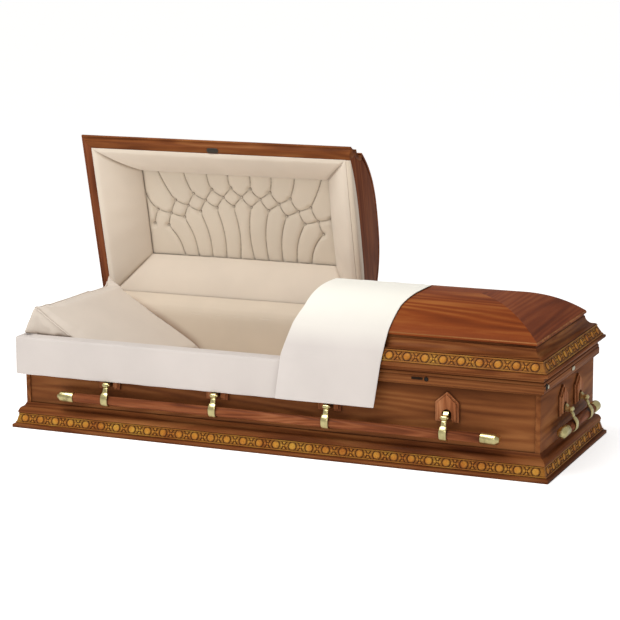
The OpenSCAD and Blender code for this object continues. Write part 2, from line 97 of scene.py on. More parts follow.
def add(tree, kind, inputs=None, give=0, **settings):
    """Adds a node and gives one of its outputs, or the node itself if give is None. A kind
    without Node in it is a ShaderNode's."""
    node = tree.nodes.new(kind if "Node" in kind else "ShaderNode" + kind)
    for label, given in settings.items():
        setattr(node, label, given)
    join(tree, node, inputs or {})
    return node if give is None else node.outputs[give]


world = bpy.data.worlds.new("white_room")
scene.world = world
world.use_nodes = True
air = world.node_tree
air.nodes.clear()
seen, lit, shine = (add(air, "Background", {"Color": (*colour, 1), "Strength": strength})
                    for colour, strength in (((1, 1, 1), 1.0), ((1.0, 0.985, 0.96), 0.42),
                                             ((1.0, 0.97, 0.93), 0.34)))
ray = add(air, "LightPath", give=None).outputs
unseen = add(air, "MixShader", {"Fac": ray["Is Glossy Ray"], 1: lit, 2: shine})
both = add(air, "MixShader", {"Fac": ray["Is Camera Ray"], 1: unseen, 2: seen})
add(air, "OutputWorld", {"Surface": both}, give=None)


def softbox(name, place, target, size, watts):
    lamp = bpy.data.lights.new(name, "AREA")
    lamp.shape, lamp.size, lamp.size_y, lamp.energy = "RECTANGLE", *size, watts
    stand = stood(name, lamp)
    stand.location = place
    stand.rotation_mode = "QUATERNION"
    stand.rotation_quaternion = (Vector(target) - Vector(place)).to_track_quat("-Z", "Y")


softbox("key_softbox", (-0.95, -1.45, 3.6), (0.0, 0, 0.35), (3.2, 2.2), 110)
softbox("front_fill", (1.4, -4.6, 2.0), (0.1, 0, 0.4), (2.4, 1.6), 17)


def finish(name):
    """A new material, with its node tree and its shader."""
    m = bpy.data.materials.new(name)
    m.use_nodes = True
    return m, m.node_tree, m.node_tree.nodes["Principled BSDF"]


def spread(tree, value, low, high, start=0.0, end=1.0):
    """Maps the value's run from start to end on to low to high."""
    return add(tree, "MapRange", {"Value": value, "From Min": start, "From Max": end,
                                  "To Min": low, "To Max": high})


floor_mesh = bpy.data.meshes.new("studio_floor")
floor_mesh.from_pydata([(-30, -30, 0), (30, -30, 0), (30, 60, 0), (-30, 60, 0)], [], [(0, 1, 2, 3)])
studio_floor = stood("studio_floor", floor_mesh)
floor_white, t, shader = finish("studio_floor_white")
mirrored = add(t, "LightPath", give="Is Glossy Ray")
join(t, shader, {"Roughness": 0.9, "Emission Color": (1, 1, 1, 1),
                 "Base Color": spread(t, mirrored, 0.93, 0.42),
                 "Emission Strength": spread(t, mirrored, 0.62, 0.18)})
floor_mesh.materials.append(floor_white)


# Body: floor board, two long sides and two end panels, the ends standing proud
# as corner posts. Reddish brown stained hardwood under satin lacquer, glued and
# screwed from inside. Every board has its arrises eased with sandpaper.
def rgba(colour, share=1.0):
    return (*(c * share for c in colour), 1)


def ramp(tree, value, *stops):
    node = add(tree, "ValToRGB", {"Fac": value}, give=None)
    marks = node.color_ramp.elements
    for mark, (place, colour) in zip(marks, (stops[0], stops[-1])):
        mark.position, mark.color = place, rgba(colour)
    for place, colour in stops[1:-1]:
        marks.new(place).color = rgba(colour)
    return node.outputs["Color"]


def calc(tree, what, *values):
    return add(tree, "Math", dict(enumerate(values)), operation=what)


def painted(tree, share, under, over):
    """One colour laid over another, as thick as share."""
    return add(tree, "Mix", {0: share, 6: under, 7: over}, give=2, data_type="RGBA")


def bump(tree, height, strength, distance):
    return add(tree, "Bump", {"Height": height, "Strength": strength, "Distance": distance})


def group(name, takes, gives):
    """An empty shader group: its inputs' start values by name (None for a vector) and its outputs."""
    g = bpy.data.node_groups.new(name, "ShaderNodeTree")
    for label, value in takes.items():
        kind = "NodeSocketVector" if value is None else "NodeSocketFloat"
        socket = g.interface.new_socket(label, in_out="INPUT", socket_type=kind)
        if value is not None:
            socket.default_value = value
    for label in gives:
        g.interface.new_socket(label, in_out="OUTPUT", socket_type="NodeSocketFloat")
    return g, g.nodes.new("NodeGroupInput").outputs, g.nodes.new("NodeGroupOutput")


def stretched(tree, vector, scale, **noise):
    """Noise drawn out along the vector's X."""
    lie = add(tree, "Mapping", {"Vector": vector, "Scale": scale})
    return add(tree, "TexNoise", {"Vector": lie, "Scale": 1.0, **noise})


# Board grain, the boards' length lying along the vector's X: broad tone, the
# contour figure of the growth rings, dark mineral streaks and fine open pores.
RING_COUNT = 120.0
grain, grain_in, grain_out = group("Board grain", {"Vector": None, "Figure size": 1.0},
                                   ("Tone", "Rings", "Streaks", "Pores"))
sized = add(grain, "VectorMath", {0: grain_in["Vector"], "Scale": grain_in["Figure size"]},
            operation="SCALE")
sheaf = stretched(grain, sized, (0.45, 5.5, 5.5), Detail=1.5, Distortion=0.4)
rings = calc(grain, "SINE", calc(grain, "MULTIPLY", sheaf, RING_COUNT))
streak = stretched(grain, sized, (0.7, 26, 26), Detail=2.0, Distortion=0.2)
join(grain, grain_out, {"Tone": stretched(grain, sized, (1.6, 16, 16), Detail=6.0, Roughness=0.62),
                        "Rings": spread(grain, rings, 0.0, 1.0, -1.0),
                        "Streaks": spread(grain, streak, 0.0, 1.0, 0.55, 0.74),
                        "Pores": stretched(grain, sized, (14, 420, 420), Detail=2.0)})

# How open each spot is, by ambient occlusion: 0.35 deep in quirks and corners, 0.95 in the open.
# The wood, the cloth and the carving use it for painted shade; the brass for patina in its hollows.
openness, openness_in, openness_out = group("How open a nook is", {"Reach": 0.02}, ("Open",))
nook = add(openness, "AmbientOcclusion", {"Distance": openness_in["Reach"]}, give="AO", samples=8)
join(openness, openness_out, {"Open": spread(openness, nook, 0.0, 1.0, 0.35, 0.95)})


def high_part(tree, reach):
    return add(tree, "Group", {"Reach": reach}, node_tree=openness)


def quirks(tree, reach, share):
    """How far a spot lies in a corner, up to share."""
    return calc(tree, "MULTIPLY", calc(tree, "SUBTRACT", 1.0, high_part(tree, reach)), share)


def stained(name, turn=(0, 0, 0), shift=(0, 0, 0), dark=(0.075, 0.022, 0.008), mid=(0.195, 0.064, 0.020),
            light=(0.33, 0.13, 0.042), figure=1.0, rough=0.3):
    m, t, shader = finish(name)
    lie = add(t, "Mapping", {"Vector": add(t, "TexCoord", give="Object"),
                             "Rotation": turn, "Location": shift})
    g = add(t, "Group", {"Vector": lie, "Figure size": figure}, None, node_tree=grain).outputs
    tone = add(t, "Mix", {0: 0.16, 2: g["Tone"], 3: g["Rings"]})
    body = ramp(t, tone, (0.22, dark), (0.5, mid), (0.80, light))
    body = painted(t, calc(t, "MULTIPLY", g["Streaks"], 0.38), body, rgba(dark, 0.55))
    # Painted shade: the wood is darkened towards its dark stain in quirks and corners, by how closed in they
    # are.
    body = painted(t, quirks(t, 0.022, 0.75), body, rgba(dark, 0.35))
    relief = add(t, "Mix", {0: 0.3, 2: g["Pores"], 3: g["Rings"]})
    join(t, shader, {"Base Color": body, "Roughness": spread(t, g["Pores"], rough, rough + 0.16),
                     "Normal": bump(t, relief, 0.12, 0.0006), "IOR": 1.13, "Specular IOR Level": 0.35})
    return m


QUARTER = math.radians(90)
ACROSS = (0, 0, QUARTER)
RAIL_STAIN = dict(figure=1.25, dark=(0.070, 0.018, 0.007), mid=(0.19, 0.058, 0.017),
                  light=(0.34, 0.135, 0.042))
board_long = stained("stained_board_long")
board_cross = stained("stained_board_cross", turn=ACROSS, shift=(0.7, 0.2, 0.1))
rail_long = stained("stained_rail_long", shift=(0.3, 1.1, 0.6), **RAIL_STAIN)
rail_cross = stained("stained_rail_cross", turn=ACROSS, shift=(1.3, 0.4, 0.9), **RAIL_STAIN)


def baked(piece):
    """Keeps the mesh that the piece's modifiers make, and takes them off."""
    made = bpy.data.meshes.new_from_object(piece.evaluated_get(bpy.context.evaluated_depsgraph_get()))
    piece.modifiers.clear()
    piece.data = made
    return made


def settled(piece, body, slot, *stands_for):
    """Bakes the piece's modifiers into its mesh, then fixes it to its body."""
    if piece.modifiers:
        baked(piece)
    piece.data.name = piece.name
    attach(piece, body)
    if stands_for:
        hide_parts(*stands_for)
    return piece


def rounded(piece, width, steps=2, angle=30):
    arris = piece.modifiers.new("arris", "BEVEL")
    arris.width, arris.segments, arris.limit_method = width, steps, "ANGLE"
    arris.angle_limit = math.radians(angle)
    return arris


def eased(node, material, body, width=0.0012, slot="stained_wood", steps=2):
    """The CAD piece with its arrises eased, in its own finish."""
    mesh = cad[node].data.copy()
    bm = bmesh.new()
    bm.from_mesh(mesh)
    bmesh.ops.remove_doubles(bm, verts=bm.verts, dist=2e-5)
    bmesh.ops.dissolve_limit(bm, angle_limit=math.radians(0.4), verts=bm.verts, edges=bm.edges)
    bm.to_mesh(mesh)
    bm.free()
    mesh.materials.clear()
    mesh.materials.append(material)
    mesh.shade_smooth()
    piece = stood(node + "_eased", mesh)
    rounded(piece, width, steps, 24).harden_normals = True
    return settled(piece, body, slot, node)


for name in ("floor_board", "front_panel", "back_panel", "head_panel", "foot_panel"):
    eased(name, board_cross if name[:4] in ("head", "foot") else board_long, "casket")


# Base: four mitred lengths of deep moulding under the body, an ogee above a
# band of carving. The same stained wood, glued to the body's lower edge.
def four_sides(prefix, long, cross, width):
    for name, wood in (("front", long), ("back", long), ("head", cross), ("foot", cross)):
        eased(prefix + name, wood, "casket", width)


four_sides("base_", rail_long, rail_cross, 0.001)

# Rim: four mitred rails of plain board round the top of the body, glued and
# pinned to the panels. The lids close on them.
four_sides("rim_", board_long, board_cross, 0.0015)


# Fittings on the rim: the lock's slotted plate with its key hole on the front,
# and at the foot end the plug of the lid key and an oval cover. Brass, let in
# flush and pinned. The lock's plate and the bushes are coloured near black and
# the bores black: painted shade of the slot and the key holes.
def brass(name, tint, deep=(0.16, 0.13, 0.07), rough=0.24):
    m, t, shader = finish(name)
    where = add(t, "TexCoord", give="Object")
    cloud = add(t, "TexNoise", {"Vector": where, "Scale": 34.0, "Detail": 4.0})
    rub = stretched(t, where, (60, 900, 900), Detail=2.0)
    worn = calc(t, "MULTIPLY", spread(t, cloud, 0.0, 1.0, 0.18, 0.5), high_part(t, 0.008))
    join(t, shader, {"Base Color": ramp(t, worn, (0.0, deep), (0.55, rgba(tint, 0.82)[:3]), (1.0, tint)),
                     "Roughness": spread(t, cloud, rough + 0.1, rough), "Metallic": 1.0,
                     "Normal": bump(t, rub, 0.06, 0.0003)})
    return m


antique = brass("antique_brass_worn", tint=(0.89, 0.78, 0.38), deep=(0.17, 0.13, 0.05))
bright = brass("bright_brass_plate", tint=(0.78, 0.72, 0.52), rough=0.16)
bronze = brass("dark_bronze_plate", tint=(0.10, 0.085, 0.07), deep=(0.03, 0.025, 0.02), rough=0.34)
# Near black: painted shade of the lock's slot and round the key holes.
shade_black_brass = brass("brass_painted_shade_black", tint=(0.05, 0.03, 0.02), deep=(0.012, 0.008, 0.006), rough=0.45)
eased("lock_plate", shade_black_brass, "casket", width=0.0004, slot="antique_brass")
eased("end_fittings", bright, "casket", width=0.0004, slot="antique_brass")

# Black for the bushes' bores: painted shade of deep key holes.
painted_bore_shade, t, shader = finish("dark_key_hole")
join(t, shader, {"Base Color": (0.008, 0.006, 0.005, 1), "Roughness": 0.7})


def formed(name, bm, *finishes, turn=None, smooth=False):
    """The closed shell built in bm, its faces turned outwards, as a piece in its finishes."""
    bmesh.ops.recalc_face_normals(bm, faces=bm.faces)
    mesh = bpy.data.meshes.new(name)
    bm.to_mesh(mesh)
    bm.free()
    if smooth:
        mesh.shade_smooth()
    if turn:
        mesh.transform(turn)
    for each in finishes:
        mesh.materials.append(each)
    return stood(name, mesh)


def bridged(bm, loops, ring=False):
    """Skins a shell through closed loops of corners. A ring's last loop meets its first;
    other shells are capped at both ends."""
    count = len(loops[0])
    for a, b in zip(loops, loops[1:] + (loops[:1] if ring else [])):
        for k in range(count):
            bm.faces.new((a[k], a[(k + 1) % count], b[(k + 1) % count], b[k]))
    if not ring:
        bm.faces.new(loops[0])
        bm.faces.new(loops[-1])


def collar(name, centre, out, radius):
    """A round bush with a dark bore, set in the rim: rings of (radius, height)."""
    centre, spin = Vector(centre), Vector(out).to_track_quat("Z", "Y").to_matrix()
    bm = bmesh.new()
    bridged(bm, [[bm.verts.new(centre + spin @ Vector((r * radius * math.cos(a),
                                                       r * radius * math.sin(a), h)))
                  for a in (k * math.tau / 28 for k in range(28))]
                 for r, h in ((1, 0.0), (1, 0.0008), (0.86, 0.0013), (0.62, 0.0010), (0.58, 0.0003))])
    # The bore's faces take the black finish: painted shade.
    for f in bm.faces:
        f.material_index = int(max((v.co - centre).length for v in f.verts) < radius * 0.65)
    settled(formed(name, bm, shade_black_brass, painted_bore_shade, smooth=True), "casket", "antique_brass")


collar("front_key_bush", (0.606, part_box("rim_front")[0][1] + 0.0002, 0.325), (0, -1, 0), 0.0085)
collar("end_key_bush", (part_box("rim_foot")[1][0] + 0.0002, -0.315, 0.328), (1, 0, 0), 0.0115)

# Lids: each is a frame of three deep mouldings, mitred at the corners, with a
# header board closing its cut end. The same wood and finish as the rails.
OPEN_ANGLE = math.radians(77.5)
RAISED_ACROSS = (OPEN_ANGLE, 0, QUARTER)
raised_cross = stained("stained_rail_cross_raised", turn=RAISED_ACROSS, shift=(1.1, 0.3, 0.5), figure=1.25,
                       dark=(0.075, 0.020, 0.009), mid=(0.185, 0.052, 0.020), light=(0.30, 0.105, 0.040))
for half, cross, board in (("head_lid", raised_cross, raised_cross), ("foot_lid", rail_cross, board_cross)):
    for part, wood in (("front", rail_long), ("back", rail_long), ("end", cross), ("header", board)):
        eased(f"{half}_{part}", wood, half, width=0.001)

# Rebate strip: a thin wooden strip pinned under the foot lid's frame, which
# meets the rim and closes the gap when the lid is down. Mitred at the corners.
REBATE_LOW, REBATE_TOP = 0.3484, 0.3540
bm = bmesh.new()
for plan in (((0.1012, -0.338), (1.030, -0.338), (1.002, -0.310), (0.1012, -0.310)),
             ((1.030, -0.338), (1.030, 0.338), (1.002, 0.310), (1.002, -0.310)),
             ((1.030, 0.338), (0.1012, 0.338), (0.1012, 0.310), (1.002, 0.310))):
    bridged(bm, [[bm.verts.new((x, y, z)) for x, y in plan] for z in (REBATE_LOW, REBATE_TOP)])
rebate_strip = formed("foot_lid_rebate", bm, rail_long)
rounded(rebate_strip, 0.0008)
settled(rebate_strip, "foot_lid", "stained_wood")

# Crowns: bent panels, arched from front to back and hipped at the outer end,
# with the grain running the casket's length. Glued down on the lid frames.
CROWN_HALF, CROWN_END, EAVE, CROWN_FOOT = 0.302, 0.994, 0.474, 0.466
CROWN_RISE, HIP, ARCH_POWER, CROWN_THICK = 0.101, 0.310, 2.6, 0.014
FLAT_STEPS, HIP_STEPS = 24, 30
LID_TURN = Matrix.Translation((0, 0.350, 0.351)) @ Matrix.Rotation(-OPEN_ANGLE, 4, "X") @ \
    Matrix.Translation((0, -0.350, -0.351))
END_STAIN = dict(shift=(0.4, 0.15, 0.7), figure=0.9, dark=(0.085, 0.018, 0.007), mid=(0.20, 0.045, 0.014),
                 light=(0.31, 0.09, 0.028))
crown_end = stained("stained_crown_end", turn=ACROSS, **END_STAIN)
crown_end_raised = stained("stained_crown_end_raised", turn=RAISED_ACROSS, **END_STAIN)
# A paler stain for the crown's rounded eave: a painted highlight along its lower edge.
eave_highlight = stained("stained_rubbed_edge", shift=(0.2, 0.9, 0.3), dark=(0.20, 0.07, 0.02),
                      mid=(0.33, 0.125, 0.04), light=(0.50, 0.22, 0.08), rough=0.28)
crown_wood = stained("stained_crown", shift=(0.9, 0.55, 0.2), figure=0.8, dark=(0.10, 0.020, 0.007),
                     mid=(0.225, 0.050, 0.012), light=(0.42, 0.15, 0.036))


def arch(y, u=0.0):
    """The crown's height at y, u being how far down the hip it lies."""
    return EAVE + CROWN_RISE * (1 - max(abs(y) / CROWN_HALF, u) ** ARCH_POWER)


def underside(y, u):
    return max(CROWN_FOOT, arch(y, u) - CROWN_THICK)


def crown(half, cut, toward, turn=None):
    share = [1 - (1 - k / HIP_STEPS) ** 1.35 for k in range(HIP_STEPS + 1)]
    ys = [-CROWN_HALF * s for s in reversed(share)] + [CROWN_HALF * s for s in share[1:]]
    start, hip_from = toward * cut, CROWN_END - HIP
    xs = [(start + (hip_from - start) * k / FLAT_STEPS, 0.0) for k in range(FLAT_STEPS + 1)]
    xs += [(hip_from + HIP * s, s) for s in share[1:]]
    bm = bmesh.new()
    weight = bm.edges.layers.float.new("bevel_weight_edge")
    skins = [[[bm.verts.new((toward * x, y, height(y, u))) for y in ys] for x, u in xs]
             for height in (arch, underside)]
    for skin in skins:
        for i in range(len(xs) - 1):
            for j in range(len(ys) - 1):
                a, b, c, d = skin[i][j], skin[i + 1][j], skin[i + 1][j + 1], skin[i][j + 1]
                k = i - FLAT_STEPS
                if k >= 0 and j == HIP_STEPS + k:
                    faces = [((a, b, c), 1), ((a, c, d), 0)]
                elif k >= 0 and j == HIP_STEPS - 1 - k:
                    faces = [((a, b, d), 0), ((b, c, d), 1)]
                else:
                    faces = [((a, b, c, d), 1 if HIP_STEPS - k <= j <= HIP_STEPS - 1 + k else 0)]
                for f, panel in faces:
                    bm.faces.new(f if skin is skins[0] else tuple(reversed(f))).material_index = panel
    last_i, last_j = len(xs) - 1, len(ys) - 1
    eave = [(i, 0) for i in range(last_i)] + [(last_i, j) for j in range(last_j)] + \
        [(i, last_j) for i in range(last_i, 0, -1)] + [(0, j) for j in range(last_j, 0, -1)]
    for (i, j), (k, m) in zip(eave, eave[1:] + eave[:1]):
        bm.faces.new((skins[0][k][m], skins[0][i][j], skins[1][i][j], skins[1][k][m]))
        bm.edges.get((skins[0][i][j], skins[0][k][m]))[weight] = 1.0
    piece = formed(half + "_crown_panel", bm, crown_wood, crown_end_raised if turn else crown_end,
                   eave_highlight, turn=turn, smooth=True)
    # The eave's rounded arris takes the third finish, the painted highlight.
    lip = piece.modifiers.new("eased_eave", "BEVEL")
    lip.limit_method, lip.width, lip.segments, lip.material = "WEIGHT", 0.0026, 3, 2
    settled(piece, half, "stained_wood", half + "_crown")
    piece.data.set_sharp_from_angle(angle=math.radians(38))
    bm = bmesh.new()
    bm.from_mesh(piece.data)
    for e in bm.edges:
        if {f.material_index for f in e.link_faces} == {0, 1}:
            e.smooth = False
    bm.to_mesh(piece.data)
    bm.free()


HEAD_CUT, FOOT_CUT = 0.097, 0.101
crown("head_lid", HEAD_CUT, -1, LID_TURN)
crown("foot_lid", FOOT_CUT, 1)

# Catch and hinges: a dark oval plate let into the head lid's front rail, and
# leaf hinges along the back, screwed to the rim and to each lid.
eased("head_lid_catch", bronze, "head_lid", width=0.0008, slot="dark_bronze")
for name, body in (("hinge_body_leaves", "casket"), ("hinge_head_leaves", "head_lid"),
                   ("hinge_foot_leaves", "foot_lid")):
    eased(name, antique, body, width=0.0003, slot="antique_brass")

# Carved bands: a strip of relief let into the base and into each lid's frame.
# Domed discs in rings stand between four-petalled flowers with a bead, carved
# about 3 mm proud of a sunk ground, gilded ochre over dark amber glaze.
PITCH, SUNK, SKIN = 0.064, 0.0026, 0.0036
carved, t, shader = finish("gilded_carving")
where = add(t, "TexCoord", give="Object")
cloud = add(t, "TexNoise", {"Vector": where, "Scale": 16.0, "Detail": 3.0})
speck = add(t, "TexNoise", {"Vector": where, "Scale": 260.0, "Detail": 2.0})
gold = ramp(t, cloud, (0.32, (0.38, 0.120, 0.018)), (0.5, (0.51, 0.205, 0.028)), (0.7, (0.58, 0.30, 0.044)))
relief = add(t, "Attribute", give="Fac", attribute_name="relief")
gilt_and_shade = calc(t, "MULTIPLY", relief, spread(t, speck, 0.72, 1.0, 0.3, 0.62))
# Less gold where the relief closes in, so the dark ground colour shows there: painted shade round the relief.
gilt_and_shade = calc(t, "MULTIPLY", gilt_and_shade, high_part(t, 0.006))
join(t, shader, {"Base Color": painted(t, gilt_and_shade, (0.062, 0.018, 0.006, 1), gold), "IOR": 1.2,
                 "Roughness": spread(t, speck, 0.32, 0.5), "Normal": bump(t, speck, 0.2, 0.0004)})


def node_tree(name, **sizes):
    """An empty Geometry Nodes tree; its sizes and its finish are inputs."""
    g = bpy.data.node_groups.new(name, "GeometryNodeTree")
    g.interface.new_socket("Geometry", in_out="INPUT", socket_type="NodeSocketGeometry")
    for label, value in sizes.items():
        label = label.replace("_", " ").capitalize()
        g.interface.new_socket(label, in_out="INPUT", socket_type="NodeSocketFloat").default_value = value
    g.interface.new_socket("Finish", in_out="INPUT", socket_type="NodeSocketMaterial")
    g.interface.new_socket("Geometry", in_out="OUTPUT", socket_type="NodeSocketGeometry")
    return g, g.nodes.new("NodeGroupInput").outputs


def closed(g, given, made):
    """Ends the tree: plain geometry, shaded smooth, in its finish."""
    made = add(g, "GeometryNodeRealizeInstances", {"Geometry": made})
    made = add(g, "GeometryNodeSetShadeSmooth", {"Geometry": made})
    made = add(g, "GeometryNodeSetMaterial", {"Geometry": made, "Material": given["Finish"]})
    add(g, "NodeGroupOutput", {"Geometry": made}, give=None)
    return g


def grown(piece, tree, material):
    """Runs the tree on the piece's points and keeps the plain mesh."""
    run = piece.modifiers.new("carving", "NODES")
    run.node_group = tree
    run[next(s.identifier for s in tree.interface.items_tree
             if s.name == "Finish" and s.in_out == "INPUT")] = material
    return baked(piece)


def sized_to(g, part, x, y, z, **place):
    scale = add(g, "CombineXYZ", {"X": x, "Y": y, "Z": z})
    return add(g, "GeometryNodeTransform", {"Geometry": part, "Scale": scale, **place})


def carving_tree():
    """Geometry Nodes: sets a disc or a flower at each marked point, turned to its run."""
    g, size = node_tree("Carved run", disc_radius=0.0128, ring_radius=0.0158, ring_width=0.0016,
                        cut_width=0.0021, lozenge_length=0.0150, bead_radius=0.0034, relief=0.0030)

    def proud(share):
        return calc(g, "MULTIPLY", size["Relief"], share)

    def marked(part, value):
        return add(g, "GeometryNodeStoreNamedAttribute", {"Geometry": part, "Name": "relief", "Value": value},
                   data_type="FLOAT")

    def named(label, kind):
        return add(g, "GeometryNodeInputNamedAttribute", {"Name": label}, data_type=kind)

    dome = add(g, "GeometryNodeMeshUVSphere", {"Segments": 16, "Rings": 8, "Radius": 1.0}, give="Mesh")
    cube = add(g, "GeometryNodeMeshCube", {"Size": (1.0, 1.0, 1.0)}, give="Mesh")
    circle = add(g, "GeometryNodeCurvePrimitiveCircle", {"Resolution": 24, "Radius": size["Ring radius"]})
    wire = add(g, "GeometryNodeCurvePrimitiveCircle", {"Resolution": 6, "Radius": size["Ring width"]})
    ring = add(g, "GeometryNodeCurveToMesh", {"Curve": circle, "Profile Curve": wire})
    ring = add(g, "GeometryNodeTransform", {"Geometry": ring, "Translation": (0, 0, -0.0004)})
    disc = sized_to(g, dome, size["Disc radius"], size["Disc radius"], proud(0.95))
    bead = sized_to(g, dome, size["Bead radius"], size["Bead radius"], proud(0.7))
    petals = [marked(bead, 1.0)]
    cut_length = calc(g, "MULTIPLY", size["Lozenge length"], 2.55)
    for k in (-1, 1):
        cut = sized_to(g, cube, cut_length, size["Cut width"], 0.0016, Rotation=(0, 0, math.radians(52 * k)))
        petals += [marked(cut, 0.0)]
        for long, wide, place in ((0.0052, 0.0050, (0.0094 * k, 0, 0)), (0.0046, 0.0040, (0, 0.0102 * k, 0))):
            petals.append(marked(sized_to(g, dome, long, wide, proud(0.62), Translation=place), 0.92))
    is_disc = named("disc", "BOOLEAN")
    lie = add(g, "FunctionNodeAxesToRotation", {"Primary Axis": named("out", "FLOAT_VECTOR"),
                                                "Secondary Axis": named("along", "FLOAT_VECTOR")},
              primary_axis="Z", secondary_axis="X")
    whole = add(g, "GeometryNodeJoinGeometry", give=None)
    for parts, chosen in (((marked(disc, 1.0), marked(ring, 0.0)), is_disc),
                          (petals, add(g, "FunctionNodeBooleanMath", {0: is_disc}, operation="NOT"))):
        motif = add(g, "GeometryNodeJoinGeometry", give=None)
        for part in parts:
            join(g, motif, {0: part})
        put = add(g, "GeometryNodeInstanceOnPoints", {"Points": size["Geometry"], "Selection": chosen,
                                                      "Instance": motif.outputs[0], "Rotation": lie})
        join(g, whole, {0: put})
    return closed(g, size, whole.outputs[0])


carved_run = carving_tree()


def carved_band(name, node, body, half_long, half_wide, low, high, cut=None, toward=1, turn=None):
    """A sunk ground with two plain fillets, mitred round the corners, and its relief. low and
    high are (inset, height) of the face's two edges; a lid's band starts and ends at its cut."""
    foot, slope = Vector(low), Vector(high) - Vector(low)
    out = Vector((slope.y, -slope.x)).normalized()
    profile = []
    for share, lift in ((0.0, -SKIN), (0.0, -0.0002), (0.05, 0.0), (0.10, -0.0004), (0.115, -SUNK),
                        (0.885, -SUNK), (0.90, -0.0004), (0.95, 0.0), (1.0, -0.0002), (1.0, -SKIN)):
        profile.append((*(foot + slope * share - out * lift), 0.62 if lift > -0.001 else 0.55))
    corners = [(-1, -1), (1, -1), (1, 1), (-1, 1)] if cut is None else \
        [(0, -1), (toward, -1), (toward, 1), (0, 1)]

    def plan(corner, inset):
        x, y = corner
        return (x * (half_long - inset) if x else cut, y * (half_wide - inset))

    bm = bmesh.new()
    mark = bm.verts.layers.float.new("relief")
    loops = []
    for corner in corners:
        loops.append([bm.verts.new((*plan(corner, inset), z)) for inset, z, _ in profile])
        for v, (_, _, lit) in zip(loops[-1], profile):
            v[mark] = lit
    bridged(bm, loops, ring=cut is None)
    bmesh.ops.recalc_face_normals(bm, faces=bm.faces)
    middle, height = foot + slope / 2 + out * SUNK
    marks = []
    for corner, after in zip(corners, corners[1:] + (corners[:1] if cut is None else [])):
        a, b = Vector((*plan(corner, middle), height)), Vector((*plan(after, middle), height))
        run = b - a
        sideways = Vector((run.y, -run.x, 0)).normalized()
        if sideways.dot((a + b) / 2) < 0:
            sideways = -sideways
        face = sideways * out.x + Vector((0, 0, -out.y))
        cells = max(1, round((run.length - 0.012) / PITCH))
        marks += [(a + run * (k + 1) / (2 * cells), run.normalized(), face, k % 2 == 0)
                  for k in range(2 * cells - 1)]
    points, alongs, outs, discs = zip(*marks)
    seed = bpy.data.meshes.new(name + "_points")
    seed.from_pydata([tuple(p) for p in points], [], [])
    for label, values in (("along", alongs), ("out", outs)):
        spots = seed.attributes.new(label, "FLOAT_VECTOR", "POINT").data
        spots.foreach_set("vector", [c for v in values for c in v])
    seed.attributes.new("disc", "BOOLEAN", "POINT").data.foreach_set("value", discs)
    piece = stood(name, seed)
    made = grown(piece, carved_run, carved)
    bm.from_mesh(made)
    bm.to_mesh(made)
    bm.free()
    if turn:
        made.transform(turn)
    made.materials.clear()
    made.materials.append(carved)
    made.polygons.foreach_set("material_index", [0] * len(made.polygons))
    settled(piece, body, "carved_band", node)


LID_FACE = (1.053, 0.361, (0.007, 0.382), (0.027, 0.420))
carved_band("base_carving", "base_band", "casket", 1.060, 0.370, (0.009, 0.018), (0.019, 0.054))
carved_band("head_lid_carving", "head_lid_band", "head_lid", *LID_FACE, cut=HEAD_CUT, toward=-1,
            turn=LID_TURN)
carved_band("foot_lid_carving", "foot_lid_band", "foot_lid", *LID_FACE, cut=FOOT_CUT)

# Swing handles: shield plates screwed to the body, brass lugs and strap arms,
# and turned wooden bars with brass caps. Each bar swings out on its arms' pins.
SHIELD_STAIN = dict(turn=(0, QUARTER, 0), figure=2.2, dark=(0.13, 0.036, 0.014), mid=(0.30, 0.10, 0.037),
                    light=(0.50, 0.22, 0.10))
BAR_STAIN = dict(figure=1.8, dark=(0.055, 0.015, 0.008), mid=(0.200, 0.058, 0.022),
                 light=(0.35, 0.125, 0.050), rough=0.26)
shield_wood = stained("stained_shield", shift=(0.2, 0.6, 0.4), **SHIELD_STAIN)
shield_wood_end = stained("stained_shield_end", shift=(0.5, 0.1, 0.3), **SHIELD_STAIN)
bar_wood_long = stained("turned_bar_long", shift=(0.15, 0.35, 0.75), **BAR_STAIN)
bar_wood_cross = stained("turned_bar_cross", turn=ACROSS, shift=(0.25, 0.65, 0.35), **BAR_STAIN)
PIVOT_OUT, PIVOT_UP, BAR_OUT, BAR_UP, GRIP = 0.036, 0.196, 0.038, 0.138, 0.0208
SIDE_FACE, END_FACE, ARM_WIDE = 0.323, 1.017, 0.029


